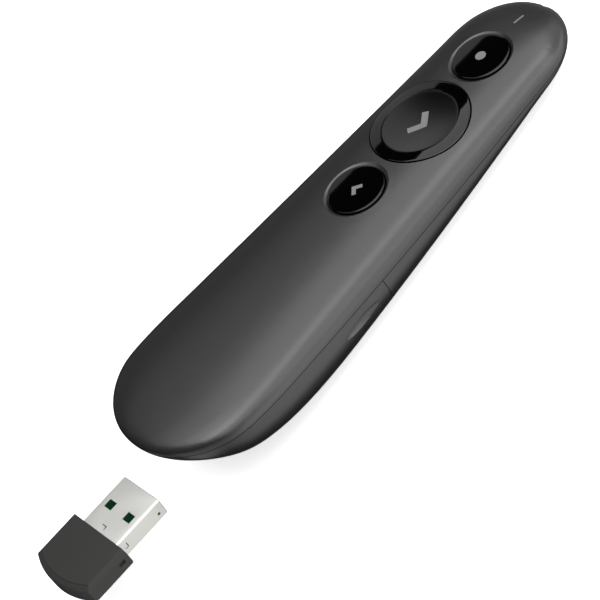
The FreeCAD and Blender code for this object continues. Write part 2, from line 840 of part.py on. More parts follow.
def board_chips():
    chip = box("radio_case", "Sizes.chip_side", "Sizes.chip_side", "Sizes.chip_thickness",
               y="-Sizes.chip_side / 2", z="-Sizes.board_thickness - Sizes.chip_thickness")
    station = (size("next_station") + size("tail_screw_station")) / 2
    finish(group("radio_chip_solid", chip), "radio_chip", board_place(station))
    pieces = []
    for column in range(SMALL_PART_COLUMNS):
        for line in range(SMALL_PART_ROWS):
            x = "%r * Sizes.small_part_pitch" % (column - (SMALL_PART_COLUMNS - 1) / 2)
            y = "%r * Sizes.small_part_pitch" % line
            pieces.append(box("small_part_%d_%d" % (column, line), "Sizes.small_part_width",
                              "Sizes.small_part_length", "Sizes.small_part_height", y=y,
                              z="-Sizes.board_thickness - Sizes.small_part_height", x=x))
    station = (size("next_station") + size("front_screw_station")) / 2
    finish(group("small_parts", *pieces), "board_components", board_place(station))


def screws(label, places, head_z, placement):
    """Screws with round heads below head_z and shanks up into their bosses."""
    pieces = []
    for index, (side, along) in enumerate(places):
        x, y = "%r" % side, "%r" % along
        shank = pin("%s_shank_%d" % (label, index), "Sizes.screw_diameter", "Sizes.screw_length",
                    x=x, y=y, z=head_z, upright=True)
        head = pin("%s_head_%d" % (label, index), "Sizes.screw_head_diameter", "Sizes.screw_head_height",
                   x=x, y=y, z="(%s) - Sizes.screw_head_height" % head_z, upright=True)
        pieces.append(fuse("%s_%d" % (label, index), shank, head))
    finish(group(label + "_set", *pieces), label, placement)


# Laser and status light

def laser_parts():
    base = place(size("barrel_station"), size("laser_height"))
    tube = pin("barrel_tube", "Sizes.barrel_diameter", "Sizes.barrel_length")
    bore = pin("barrel_bore", "Sizes.barrel_diameter - 2 * Sizes.barrel_wall",
               "Sizes.barrel_length - Sizes.barrel_front_wall")
    beam = pin("barrel_beam", "Sizes.beam_diameter", "Sizes.barrel_length")
    finish(cut("barrel", tube, fuse("barrel_hollow", bore, beam)), "laser_barrel", base)
    diode = pin("diode_can", "Sizes.diode_diameter", "Sizes.diode_length", y="-Sizes.diode_stand_off")
    finish(group("diode", diode), "laser_diode", base)
    lens_y = "Sizes.barrel_length - Sizes.barrel_front_wall - Sizes.lens_thickness"
    finish(group("lens", pin("lens_disc", "Sizes.lens_diameter", "Sizes.lens_thickness", y=lens_y)), "laser_lens", base)
    glass = pin("window_disc", "Sizes.beam_diameter - 2 * Sizes.laser_clearance", "Sizes.window_thickness",
                y="-Sizes.window_inset - Sizes.window_thickness")
    finish(group("window", glass), "laser_window", place(LENGTH, size("laser_height")))


def status_light():
    """Blade in the crown's slot, with a bar and leg that bring it the light of a diode on the board."""
    station = size("light_station")
    run = size("light_length") / 2
    tilt = crown_tilt(station - run, station + run)
    clear = size("laser_clearance")
    half = size("light_width") / 2 - clear
    frame = (station, crown(station), tilt)
    blade = block(Vector(-half, -run + clear, -2 * size("wall")), Vector(half, run - clear, OVERRUN))
    blade = blade.common(in_frame(OUTER, *frame))
    bar_top = -size("wall") - 2 * clear - (ceiling(station, 0) - ceiling(station, size("light_bar_reach")))
    bar_low = bar_top - size("light_bar_thickness")
    blade = blade.cut(block(Vector(-OVERRUN, -OVERRUN, -LENGTH), Vector(OVERRUN, OVERRUN, bar_low)))
    bar = block(Vector(-half, -run / 2, bar_low), Vector(size("light_bar_reach"), run / 2, bar_top))
    led_top = board_top_in(frame, size("light_bar_reach")) + size("led_height") + size("led_gap")
    leg = block(Vector(size("light_bar_reach") - size("led_width"), -run / 2, led_top),
                Vector(size("light_bar_reach"), run / 2, bar_top))
    shaped("status_light_pipe", one_solid(blade.fuse(bar).fuse(leg)), place(*frame))
    led = box("led_case", "Sizes.led_width", "Sizes.light_length / 2", "Sizes.led_height", y="-Sizes.light_length / 4")
    finish(group("led", led), "status_led", board_place(station, size("light_bar_reach") - size("led_width") / 2))


def board_top_in(frame, side):
    """Height of the board's upper face in another frame, at its origin."""
    spot = board_place(frame[0], side).Base
    return place(*frame).inverse().multVec(spot).z


# Cells, their frame and contacts

def cell_sides():
    """Side and name of each cell: the left one has its raised end at the tail."""
    return ((-1, "left"), (1, "right"))


def batteries():
    frame = place(*CELL_FRAME)
    for side, name in cell_sides():
        x = "%r * (Sizes.cell_diameter + Sizes.cell_gap) / 2" % side
        start = "0" if name == "left" else "Sizes.spring_length"
        nub_at_tail = name == "left"
        can_start = "(%s) + Sizes.cell_nub_length" % start if nub_at_tail else start
        nub_start = start if nub_at_tail else "(%s) + Sizes.cell_length - Sizes.cell_nub_length" % start
        can = pin("can_" + name, "Sizes.cell_diameter", "Sizes.cell_length - Sizes.cell_nub_length", x=x, y=can_start)
        nub = pin("nub_" + name, "Sizes.cell_nub_diameter", "Sizes.cell_nub_length", x=x, y=nub_start)
        finish(fuse("cell_" + name, can, nub), "battery_" + name, frame)


def battery_frame():
    """Open frame round the cells: end walls, side rails, a flange along each rail and a screwed ear on each side."""
    width = "2 * " + FRAME_EXPRESSION
    high = "Sizes.contact_height"
    tail_y = "-Sizes.contact_thickness - Sizes.frame_end_thickness"
    front_y = "Sizes.cell_length + Sizes.spring_length + Sizes.contact_thickness"
    pieces = [box("frame_tail_wall", width, "Sizes.frame_end_thickness", high, y=tail_y, z="-(%s) / 2" % high),
              box("frame_front_wall", width, "Sizes.frame_end_thickness", high, y=front_y, z="-(%s) / 2" % high)]
    rail_length = "Sizes.cell_length + Sizes.spring_length + 2 * (Sizes.contact_thickness + Sizes.frame_end_thickness)"
    holes = []
    for side, name in cell_sides():
        rail_x = "%r * (%s - Sizes.frame_rail_thickness / 2)" % (side, FRAME_EXPRESSION)
        pieces.append(box("frame_rail_" + name, "Sizes.frame_rail_thickness", rail_length, "Sizes.frame_rail_height",
                          y=tail_y, z="-Sizes.frame_rail_drop", x=rail_x))
        flange_x = "%r * (%s + Sizes.frame_flange_reach / 2)" % (side, FRAME_EXPRESSION)
        pieces.append(box("frame_flange_" + name, "Sizes.frame_flange_reach", "Sizes.frame_flange_length",
                          "Sizes.frame_flange_thickness", y="Sizes.frame_flange_along",
                          z="-Sizes.frame_rail_drop", x=flange_x))
        ear_x = "%r * (%s + Sizes.frame_ear_reach / 2)" % (side, FRAME_EXPRESSION)
        pieces.append(box("frame_ear_" + name, "Sizes.frame_ear_reach", "Sizes.frame_ear_length",
                          "Sizes.frame_ear_thickness", y="Sizes.frame_ear_along - Sizes.frame_ear_length / 2",
                          z="Sizes.frame_ear_rise", x=ear_x))
        holes.append(pin("frame_hole_" + name, "Sizes.screw_diameter + 2 * Sizes.screw_clearance",
                         "2 * Sizes.frame_ear_thickness", x=ear_x, y="Sizes.frame_ear_along",
                         z="Sizes.frame_ear_rise - Sizes.frame_ear_thickness / 2", upright=True))
    body = cut("frame_body", fuse("frame_walls", *pieces), fuse("frame_holes", *holes))
    finish(body, "battery_frame", place(*CELL_FRAME))


FRAME_EXPRESSION = ("(Sizes.cell_diameter + Sizes.cell_gap / 2 + Sizes.cell_clearance"
                    " + Sizes.frame_rail_thickness)")


def contacts():
    """Sprung and flat contact plates: one bridge at the tail, one plate for each cell at the front."""
    frame = place(*CELL_FRAME)
    bridge = box("bridge_plate", "Sizes.contact_width + Sizes.cell_diameter + Sizes.cell_gap",
                 "Sizes.contact_thickness", "Sizes.contact_height", y="-Sizes.contact_thickness",
                 z="-Sizes.contact_height / 2")
    finish(group("bridge", bridge), "battery_contact_bridge", frame)
    plates = []
    for side, name in cell_sides():
        x = "%r * (Sizes.cell_diameter + Sizes.cell_gap) / 2" % side
        plates.append(box("front_plate_" + name, "Sizes.contact_width", "Sizes.contact_thickness",
                          "Sizes.contact_height", y="Sizes.cell_length + Sizes.spring_length",
                          z="-Sizes.contact_height / 2", x=x))
    finish(group("front_plates", *plates), "battery_contacts_front", frame)


def biarc(start, start_way, end, end_way):
    """Two arcs that leave start along start_way and reach end along end_way, with equal tangent lengths."""
    chord = end - start
    both = start_way + end_way
    square = 2 * (1 - start_way.dot(end_way))
    lead = chord.dot(both)
    if square > 0:
        reach = (-lead + math.sqrt(lead * lead + square * chord.dot(chord))) / square
    else:
        reach = chord.dot(chord) / (2 * lead)
    first = start + start_way * reach
    second = end - end_way * reach
    joint = (first + second) * 0.5
    arcs = []
    for a, corner, b in ((start, first, joint), (joint, second, end)):
        middle = (a + b) * 0.5
        axis = middle - corner
        half = (b - a).Length / 2
        leg = (a - corner).Length
        sine = half / leg
        cosine = axis.Length / leg
        radius = leg * sine / cosine
        centre_gap = radius / sine
        sag_point = corner + axis.normalize() * (centre_gap - radius)
        arcs.append(Part.Arc(a, sag_point, b).toShape())
    return arcs


def coil():
    """Compression spring along Y from 0 to its length, one unbroken wire."""
    wire = size("spring_wire")
    radius = (size("spring_diameter") - wire) / 2
    rise = size("spring_length") - wire - 2 * size("cell_clearance")
    steps = SPRING_TURNS * QUARTERS_PER_TURN
    climb = rise / (2 * math.pi * SPRING_TURNS)

    def spot(angle):
        return Vector(radius * math.cos(angle), wire / 2 + size("cell_clearance") + climb * angle,
                      radius * math.sin(angle))

    def way(angle):
        return Vector(-radius * math.sin(angle), climb, radius * math.cos(angle)).normalize()

    edges = []
    for step in range(steps):
        first = 2 * math.pi * step / QUARTERS_PER_TURN
        last = 2 * math.pi * (step + 1) / QUARTERS_PER_TURN
        edges += biarc(spot(first), way(first), spot(last), way(last))
    path = Part.Wire(edges)
    profile = Part.Wire([Part.makeCircle(wire / 2, spot(0), way(0))])
    gap = rise / SPRING_TURNS - wire
    print("spring: wire", wire, "turns", SPRING_TURNS, "gap between turns", round(gap, 3))
    return path.makePipeShell([profile], True, True)


def springs():
    shape = coil()
    for side, name in cell_sides():
        start = 0 if name == "right" else size("cell_length")
        frame = Placement(Vector(side * CELL_HALF_SPREAD, start, 0), Rotation())
        shaped("battery_spring_" + name, shape, place(*CELL_FRAME).multiply(frame))


# Receiver

def receiver():
    frame = place(*RECEIVER_FRAME)
    profile = doc.addObject("Sketcher::SketchObject", "cap_section")
    profile.Placement = Placement(Vector(0, 0, 0), Rotation(Vector(1, 0, 0), 90))
    half, rise, cham = "Sizes.cap_width / 2", "Sizes.cap_thickness / 2", "Sizes.cap_chamfer"
    quarter = [(half, "%s - %s" % (rise, cham)), ("%s - %s" % (half, cham), rise)]
    corners = quarter + [("-(%s)" % x, z) for x, z in reversed(quarter)]
    corners += [("-(%s)" % x, "-(%s)" % z) for x, z in corners]
    draw_outline(profile, corners)
    bar = doc.addObject("Part::Extrusion", "cap_bar")
    bar.Base = profile
    bar.DirMode = "Custom"
    bar.Dir = Vector(0, -1, 0)
    bar.Solid = True
    bar.setExpression("LengthFwd", "Sizes.cap_length")
    bar.LengthRev = 0
    round_end = pin("cap_round", "2 * Sizes.cap_end_radius", "2 * Sizes.cap_thickness",
                    y="Sizes.cap_end_radius - Sizes.cap_length", z="-Sizes.cap_thickness", upright=True)
    grow = "2 * Sizes.tongue_clearance"
    cavity = box("cap_cavity", "Sizes.shield_width + " + grow, "Sizes.cap_cavity_depth + Sizes.overrun",
                 "Sizes.shield_height + " + grow, y="-Sizes.cap_cavity_depth",
                 z="-Sizes.shield_height / 2 - Sizes.tongue_clearance")
    finish(cut("cap", common("cap_form", bar, round_end), cavity), "receiver_cap", frame)
    receiver_shield(frame)
    receiver_inside(frame)


def receiver_shield(frame):
    """Folded sheet sleeve with two windows in its upper and lower faces."""
    total = "Sizes.shield_length + Sizes.shield_root"
    sleeve = box("shield_sleeve", "Sizes.shield_width", total, "Sizes.shield_height", y="-Sizes.shield_root",
                 z="-Sizes.shield_height / 2")
    hollow = box("shield_hollow", "Sizes.shield_width - 2 * Sizes.shield_sheet", total + " + 2 * Sizes.overrun",
                 "Sizes.shield_height - 2 * Sizes.shield_sheet", y="-Sizes.shield_root - Sizes.overrun",
                 z="-Sizes.shield_height / 2 + Sizes.shield_sheet")
    cuts = [hollow]
    for side in (-1, 1):
        cuts.append(box("shield_window_%d" % (side + 1), "Sizes.shield_window_width", "Sizes.shield_window_length",
                        "2 * Sizes.shield_height",
                        y="Sizes.shield_length - Sizes.shield_window_setback - Sizes.shield_window_length / 2",
                        z="-Sizes.shield_height", x="%r * Sizes.shield_window_spread / 2" % side))
    finish(cut("shield", sleeve, fuse("shield_cuts", *cuts)), "receiver_shield", frame)


def receiver_inside(frame):
    """Tongue with four contact pads under it, and the small board with its chip behind it."""
    inner = "(Sizes.shield_width - 2 * Sizes.shield_sheet - 2 * Sizes.tongue_clearance)"
    high = "Sizes.shield_height / 2 - Sizes.shield_sheet - Sizes.tongue_clearance"
    tongue_low = high + " - Sizes.tongue_thickness"
    tongue = box("tongue_bar", inner, "Sizes.shield_length - Sizes.shield_sheet", "Sizes.tongue_thickness",
                 z=tongue_low)
    finish(group("tongue", tongue), "receiver_tongue", frame)
    pads = []
    for index in range(CONTACT_PAD_COUNT):
        x = "%r * Sizes.pad_pitch" % (index - (CONTACT_PAD_COUNT - 1) / 2)
        pads.append(box("pad_%d" % index, "Sizes.pad_width", "Sizes.pad_length", "Sizes.pad_thickness",
                        y="Sizes.shield_length - Sizes.shield_sheet - Sizes.pad_length",
                        z=tongue_low + " - Sizes.pad_thickness", x=x))
    finish(group("pads", *pads), "receiver_contacts", frame)
    board_length = "Sizes.cap_cavity_depth - Sizes.tongue_clearance"
    board_y = "-(%s)" % board_length
    board_low = high + " - Sizes.receiver_board_thickness"
    board = box("receiver_sheet", inner, board_length, "Sizes.receiver_board_thickness", y=board_y, z=board_low)
    finish(group("receiver_sheet_solid", board), "receiver_board", frame)
    chip = box("receiver_chip_case", "Sizes.receiver_chip_side", "Sizes.receiver_chip_side",
               "Sizes.receiver_chip_thickness", y="-Sizes.cap_cavity_depth / 2 - Sizes.receiver_chip_side / 2",
               z=board_low + " - Sizes.receiver_chip_thickness")
    finish(group("receiver_chip_solid", chip), "receiver_chip", frame)


def build():
    top_shell()
    front_lower_shell()
    battery_door()
    back_and_laser_buttons()
    next_button()
    for button in BUTTONS:
        plunger(button)
    circuit_board()
    switches()
    board_chips()
    screws("board_screws", board_screw_places(), "-Sizes.board_thickness", place(*BOARD_FRAME))
    frame_places = [(side * FRAME_SCREW_SIDE, size("frame_ear_along")) for side in (-1, 1)]
    screws("frame_screws", frame_places, "Sizes.frame_ear_rise", place(*CELL_FRAME))
    laser_parts()
    status_light()
    batteries()
    battery_frame()
    contacts()
    springs()
    receiver()


def check_and_write():
    """Recompute, refuse any failed object or bad shape, and write one file for each sub-part."""
    doc.recompute()
    for obj in doc.Objects:
        if "Invalid" in obj.State or "Error" in obj.State:
            raise RuntimeError("%s failed: %s" % (obj.Label, obj.State))
    for obj in PARTS:
        if obj.Shape.isNull() or not obj.Shape.isValid() or not obj.Shape.Solids:
            raise RuntimeError("%s has no valid solid" % obj.Label)
    for obj in PARTS:
        obj.Shape.exportStep("parts/%s.step" % obj.Label)
        print("%-24s %2d solid(s) %9.2f mm3" % (obj.Label, len(obj.Shape.Solids), obj.Shape.Volume))


build()
check_and_write()
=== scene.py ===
"""Wireless presentation clicker: the looks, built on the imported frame.

Sizes are in millimetres in the body's own terms: x to the holder's right, station along the body from the tail tip
and height from the belly before its flat is cut. They become metres of the row frame when a mesh is made. Sizes of
the studio are in metres of the row frame.
"""

import logging
import math
from dataclasses import dataclass
from enum import Enum
from typing import Callable, Sequence

import bmesh
import bpy
import numpy as np
from mathutils import Matrix, Vector

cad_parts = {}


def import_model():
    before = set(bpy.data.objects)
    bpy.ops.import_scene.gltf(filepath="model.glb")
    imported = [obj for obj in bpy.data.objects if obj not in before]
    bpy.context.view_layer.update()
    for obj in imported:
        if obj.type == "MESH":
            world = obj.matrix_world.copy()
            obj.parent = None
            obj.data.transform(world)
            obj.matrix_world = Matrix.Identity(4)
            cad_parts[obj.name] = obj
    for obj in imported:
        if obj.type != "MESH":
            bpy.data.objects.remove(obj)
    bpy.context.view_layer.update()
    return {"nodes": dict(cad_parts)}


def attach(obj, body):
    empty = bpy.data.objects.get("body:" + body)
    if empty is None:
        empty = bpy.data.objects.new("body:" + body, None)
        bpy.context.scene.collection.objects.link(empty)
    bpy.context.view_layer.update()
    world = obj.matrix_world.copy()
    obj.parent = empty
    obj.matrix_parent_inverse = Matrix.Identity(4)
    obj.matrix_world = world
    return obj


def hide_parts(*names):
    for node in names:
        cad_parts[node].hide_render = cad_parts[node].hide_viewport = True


LOG = logging.getLogger("clicker")
MM = 0.001
# Where the belly rests: its station, and the height that the flat under it takes away.
REST_STATION = 49.1
REST_FLAT = 0.3
# The line of the buttons: its height over the tail tip, and its fall towards the nose.
DECK_HEIGHT = 28.14
DECK_ANGLE = math.radians(6.8)
# Steps in which a point settles on the crown, and the least half width that a place is divided by.
CROWN_STEPS = 12
LEAST_WIDTH = 1e-6
# Radius of the small flat face in the middle of a turned form.
HUB = 0.15
# Stations of the three buttons on the deck line.
BACK_STATION = 71.0
NEXT_STATION = 91.6
LASER_STATION = 111.8


# Form of the body


@dataclass(frozen=True)
class Outline:
    """The body's outer form: curves along the stations and a rounded section at each."""

    length: float = 131.3
    width: float = 38.8
    nose_width: float = 26.8
    widest: float = 25.6
    tail_round: float = 18.25
    nose_round: float = 15.2
    crowns: tuple[float, float, float] = (27.4, 20.24, 12.39)
    partings: tuple[float, float, float] = (23.59, 14.06, 7.88)
    end_power: float = 2.09
    taper_power: float = 1.08
    upper_power: float = 3.03

    def _round(self, run: float, reach: np.ndarray) -> np.ndarray:
        """Quarter of a superellipse: 0 at an end's tip and 1 from the distance run on."""
        left = 1 - np.clip(reach / run, 0, 1)
        return (1 - left**self.end_power) ** (1 / self.end_power)

    def end_share(self, station: np.ndarray) -> np.ndarray:
        """Share of the full section that the rounded ends leave at a station."""
        return self._round(self.tail_round, station) * self._round(self.nose_round, self.length - station)

    def _bow(self, heights: Sequence[float], station: np.ndarray) -> np.ndarray:
        """Parabola through three heights: at the tail tip, half way along and at the nose tip."""
        k = station / self.length
        return heights[0] * (1 - k) * (1 - 2 * k) + heights[1] * 4 * k * (1 - k) + heights[2] * k * (2 * k - 1)

    def half_width(self, station: np.ndarray) -> np.ndarray:
        """Half the width at a station.

        It is full up to the widest station and tapers to the nose's width by a power of the way there. The ends'
        share rounds it.

        Args:
            station: stations along the body.

        Returns:
            Distances from the middle to the flank.
        """
        ahead = np.clip(station - self.widest, 0, None) / (self.length - self.widest)
        full = (self.width - (self.width - self.nose_width) * ahead**self.taper_power) / 2
        return full * self.end_share(station)

    def parting(self, station: np.ndarray) -> np.ndarray:
        """Height of the line where the upper and lower shells meet."""
        return self._bow(self.partings, station)

    def crown(self, station: np.ndarray) -> np.ndarray:
        """Height of the top line: the parting, and over it the crown's rise times the ends' share."""
        rise = self._bow(self.crowns, station) - self.parting(station)
        return self.parting(station) + rise * self.end_share(station)

    def upper_height(self, station: np.ndarray, x: np.ndarray) -> np.ndarray:
        """Height of the upper shell's face.

        From the crown to the parting the section is a superellipse of the distance from the middle.

        Args:
            station: stations along the body.
            x: distances from the middle.

        Returns:
            Heights of the face.
        """
        out = np.clip(np.abs(x) / np.maximum(self.half_width(station), LEAST_WIDTH), 0, 1)
        share = (1 - out**self.upper_power) ** (1 / self.upper_power)
        base = self.parting(station)
        return base + (self.crown(station) - base) * share


BODY = Outline()


class Deck:
    """The tilted line of the buttons: along it from over the tail tip, and level square above it."""

    COS = math.cos(DECK_ANGLE)
    SIN = math.sin(DECK_ANGLE)

    @classmethod
    def body(cls, points: np.ndarray) -> np.ndarray:
        """Turns points about x by the deck's angle.

        Args:
            points: array whose last axis is (x, along, level).

        Returns:
            The same points as (x, station, height).
        """
        x, along, level = np.moveaxis(points, -1, 0)
        station = along * cls.COS + level * cls.SIN
        height = DECK_HEIGHT - along * cls.SIN + level * cls.COS
        return np.stack([x, station, height], -1)

    @classmethod
    def crown_level(cls, x: np.ndarray, along: np.ndarray) -> np.ndarray:
        """Level of the upper shell's face square under points of the deck.

        Each step goes square from the deck to the last level, and takes the face's height at that station.

        Args:
            x: distances from the middle.
            along: distances along the deck.

        Returns:
            Levels over the deck, mostly below 0.
        """
        level = np.zeros_like(along)
        for _ in range(CROWN_STEPS):
            station = along * cls.COS + level * cls.SIN
            height = BODY.upper_height(station, x)
            level = (height - DECK_HEIGHT + along * cls.SIN) / cls.COS
        return level


def on_deck(station: float) -> float:
    """Distance along the deck of the point square over a station of the deck line."""
    return station / Deck.COS


# Materials


@dataclass(frozen=True)
class Texture:
    """Fine noise of a surface: scale per metre, bump distance in metres and spread of the roughness.

    along is the share of the scale that holds along the body, below 1 where the noise is drawn out into streaks.
    """

    scale: float
    bump: float
    spread: float
    along: float = 1.0


class Grain(Enum):
    """How a surface is textured."""

    SATIN = Texture(9000.0, 0.000004, 0.05)
    GLOSS = Texture(900.0, 0.0000006, 0.01)
    MATTE = Texture(6000.0, 0.000012, 0.08)
    BRUSHED = Texture(6200.0, 0.0000012, 0.05, along=0.04)
    FOLDED = Texture(7000.0, 0.0000004, 0.03, along=0.04)
    CLEAR = Texture(1500.0, 0.0000005, 0.01)


# Finer layers of the fine noise, and the wide noise that tints a surface in soft blotches.
FINE_DETAIL = 3.0
BLOTCH_SCALE = 60.0
BLOTCH_DETAIL = 4.0
LEAST_ROUGHNESS = 0.02
COAT_ROUGHNESS = 0.08


def add_noise(tree: bpy.types.NodeTree, place: bpy.types.NodeSocket, scale: float,
              detail: float) -> bpy.types.NodeSocket:
    """Adds a noise texture to a material.

    Args:
        tree: the material's node tree.
        place: output that gives the place on the piece.
        scale: noise scale per metre.
        detail: number of finer layers.

    Returns:
        The noise's output.
    """
    noise = tree.nodes.new("ShaderNodeTexNoise")
    noise.inputs["Scale"].default_value = scale
    noise.inputs["Detail"].default_value = detail
    tree.links.new(place, noise.inputs["Vector"])
    return noise.outputs["Fac"]


def add_range(tree: bpy.types.NodeTree, value: bpy.types.NodeSocket, low: float, high: float) -> bpy.types.NodeSocket:
    """Adds a straight change of a value from 0 and 1 to low and high.

    Args:
        tree: the material's node tree.
        value: output to change.
        low: what 0 becomes.
        high: what 1 becomes.

    Returns:
        The changed output.
    """
    change = tree.nodes.new("ShaderNodeMapRange")
    change.inputs["To Min"].default_value = low
    change.inputs["To Max"].default_value = high
    tree.links.new(value, change.inputs["Value"])
    return change.outputs["Result"]


@dataclass(frozen=True)
class Finish:
    """One surface finish, made as a procedural node material."""

    name: str
    color: tuple[float, float, float]
    rough: float
    grain: Grain
    metallic: float = 0.0
    specular: float = 0.5
    coat: float = 0.0
    transmission: float = 0.0
    tint: float = 0.12

    def _color(self, tree: bpy.types.NodeTree, place: bpy.types.NodeSocket, shader: bpy.types.Node) -> None:
        """Makes the base color: the finish's own, times a wide noise that spreads by the tint about 1.

        Args:
            tree: the material's node tree.
            place: output that gives the place on the piece.
            shader: the surface's node.
        """
        blotches = add_noise(tree, place, BLOTCH_SCALE, BLOTCH_DETAIL)
        shade = add_range(tree, blotches, 1 - self.tint, 1 + self.tint)
        tone = tree.nodes.new("ShaderNodeVectorMath")
        tone.operation = "SCALE"
        tone.inputs[0].default_value = self.color
        tree.links.new(shade, tone.inputs["Scale"])
        tree.links.new(tone.outputs["Vector"], shader.inputs["Base Color"])

    def _texture(self, tree: bpy.types.NodeTree, place: bpy.types.NodeSocket, shader: bpy.types.Node) -> None:
        """Lets a fine noise spread the roughness about the finish's own and raise the surface.

        Args:
            tree: the material's node tree.
            place: output that gives the place on the piece.
            shader: the surface's node.
        """
        texture = self.grain.value
        stretch = tree.nodes.new("ShaderNodeMapping")
        stretch.inputs["Scale"].default_value = (1, texture.along, 1)
        tree.links.new(place, stretch.inputs["Vector"])
        fine = add_noise(tree, stretch.outputs["Vector"], texture.scale, FINE_DETAIL)
        smooth, coarse = max(self.rough - texture.spread, LEAST_ROUGHNESS), min(self.rough + texture.spread, 1.0)
        tree.links.new(add_range(tree, fine, smooth, coarse), shader.inputs["Roughness"])
        bump = tree.nodes.new("ShaderNodeBump")
        bump.inputs["Distance"].default_value = texture.bump
        bump.inputs["Strength"].default_value = 1.0
        tree.links.new(fine, bump.inputs["Height"])
        tree.links.new(bump.outputs["Normal"], shader.inputs["Normal"])

    def material(self) -> bpy.types.Material:
        """Makes the finish's material at the first call.

        Returns:
            The finish as a Blender material.
        """
        title = "finish_" + self.name
        found = bpy.data.materials.get(title)
        if found:
            return found
        material = bpy.data.materials.new(title)
        material.use_nodes = True
        tree = material.node_tree
        shader = tree.nodes["Principled BSDF"]
        place = tree.nodes.new("ShaderNodeTexCoord").outputs["Object"]
        self._color(tree, place, shader)
        self._texture(tree, place, shader)
        settings = {"Metallic": self.metallic, "Specular IOR Level": self.specular, "Coat Weight": self.coat,
                    "Coat Roughness": COAT_ROUGHNESS, "Transmission Weight": self.transmission}
        for socket, value in settings.items():
            shader.inputs[socket].default_value = value
        return material


SHELL = Finish("charcoal_shell", (0.011, 0.011, 0.0112), 0.31, Grain.SATIN, specular=0.5, tint=0.05)
BLACK_GLOSS = Finish("black_gloss", (0.0003, 0.0003, 0.00035), 0.05, Grain.GLOSS, specular=0.5)
BLACK_DISH = Finish("black_matte_dish", (0.003, 0.003, 0.0032), 0.30, Grain.SATIN, specular=0.5)
ICON = Finish("icon_grey", (0.155, 0.155, 0.157), 0.5, Grain.MATTE, tint=0.04)
INNER = Finish("inner_plastic", (0.02, 0.02, 0.021), 0.6, Grain.MATTE)
BOARD = Finish("board_mask", (0.006, 0.055, 0.02), 0.35, Grain.GLOSS, coat=0.4)
CHIP = Finish("chip_black", (0.008, 0.008, 0.009), 0.45, Grain.MATTE)
SWITCH = Finish("switch_case", (0.012, 0.012, 0.014), 0.4, Grain.SATIN)
NICKEL = Finish("plug_nickel", (0.86, 0.855, 0.82), 0.36, Grain.FOLDED, metallic=1.0, tint=0.04)
SPRING = Finish("spring_steel", (0.56, 0.56, 0.57), 0.25, Grain.BRUSHED, metallic=1.0)
SCREW = Finish("screw_zinc", (0.42, 0.42, 0.43), 0.35, Grain.BRUSHED, metallic=1.0)
GOLD = Finish("contact_gold", (0.80, 0.56, 0.22), 0.22, Grain.BRUSHED, metallic=1.0)
BRASS = Finish("laser_brass", (0.66, 0.48, 0.20), 0.3, Grain.BRUSHED, metallic=1.0)
LENS = Finish("laser_glass", (0.75, 0.85, 0.88), 0.04, Grain.CLEAR, transmission=0.85)
WINDOW = Finish("window_glass", (0.03, 0.012, 0.014), 0.06, Grain.CLEAR, transmission=0.35)
LIGHT = Finish("status_light", (0.15, 0.153, 0.153), 0.35, Grain.CLEAR, tint=0.03)
CELL = Finish("cell_wrap", (0.10, 0.10, 0.11), 0.28, Grain.GLOSS, metallic=0.35, coat=0.3)
CAP_PLASTIC = Finish("receiver_plastic", (0.031, 0.0312, 0.03), 0.62, Grain.MATTE, specular=0.12, tint=0.05)
TONGUE = Finish("tongue_green", (0.0009, 0.02, 0.0072), 0.7, Grain.SATIN, specular=0.02)

NODE_FINISHES: dict[str, Finish] = {
    "top_shell": SHELL, "front_lower_shell": SHELL, "battery_door": SHELL,
    "back_cap": BLACK_GLOSS, "laser_cap": BLACK_GLOSS, "next_ring": BLACK_GLOSS, "next_dish": BLACK_DISH,
    "back_chevron": ICON, "laser_dot": ICON, "next_chevron": ICON,
    "back_plunger": INNER, "laser_plunger": INNER, "next_plunger": INNER, "battery_frame": INNER,
    "circuit_board": BOARD, "receiver_board": BOARD, "radio_chip": CHIP, "board_components": CHIP,
    "receiver_chip": CHIP, "back_switch": SWITCH, "next_switch": SWITCH, "laser_switch": SWITCH,
    "board_screws": SCREW, "frame_screws": SCREW, "laser_barrel": BRASS, "laser_diode": BRASS,
    "laser_lens": LENS, "laser_window": WINDOW, "status_light_pipe": LIGHT, "status_led": LIGHT,
    "battery_left": CELL, "battery_right": CELL, "battery_contact_bridge": SPRING,
    "battery_contacts_front": SPRING, "battery_spring_left": SPRING, "battery_spring_right": SPRING,
    "receiver_cap": CAP_PLASTIC, "receiver_shield": NICKEL, "receiver_tongue": TONGUE, "receiver_contacts": GOLD,
}


# Meshes


def row(points: np.ndarray) -> np.ndarray:
    """Moves points (x, station, height) in millimetres to the row frame.

    Args:
        points: array whose last axis is (x, station, height).

    Returns:
        The same points in metres of the row frame.
    """
    moved = np.asarray(points, float).copy()
    moved[..., 1] -= REST_STATION
    moved[..., 2] -= REST_FLAT
    return moved * MM


def shade(mesh: bpy.types.Mesh, crease: float) -> None:
    """Shades a mesh smooth, apart from edges that bend by more degrees than the crease."""
    mesh.shade_smooth()
    mesh.set_sharp_from_angle(angle=math.radians(crease))


def make_piece(name: str, points: np.ndarray, faces: list, finish: Finish, crease: float = 32.0) -> bpy.types.Object:
    """Makes a smooth-shaded object from row-frame points and faces.

    Args:
        name: name of the object and its mesh.
        points: vertices in metres.
        faces: vertex indices of each face.
        finish: surface finish.
        crease: edges that bend by more degrees than this stay sharp.

    Returns:
        The linked object.
    """
    mesh = bpy.data.meshes.new(name)
    mesh.from_pydata(np.asarray(points).reshape(-1, 3).tolist(), [], faces)
    shape = bmesh.new()
    shape.from_mesh(mesh)
    bmesh.ops.recalc_face_normals(shape, faces=shape.faces)
    shape.to_mesh(mesh)
    shape.free()
    shade(mesh, crease)
    mesh.materials.append(finish.material())
    piece = bpy.data.objects.new(name, mesh)
    bpy.context.scene.collection.objects.link(piece)
    return piece


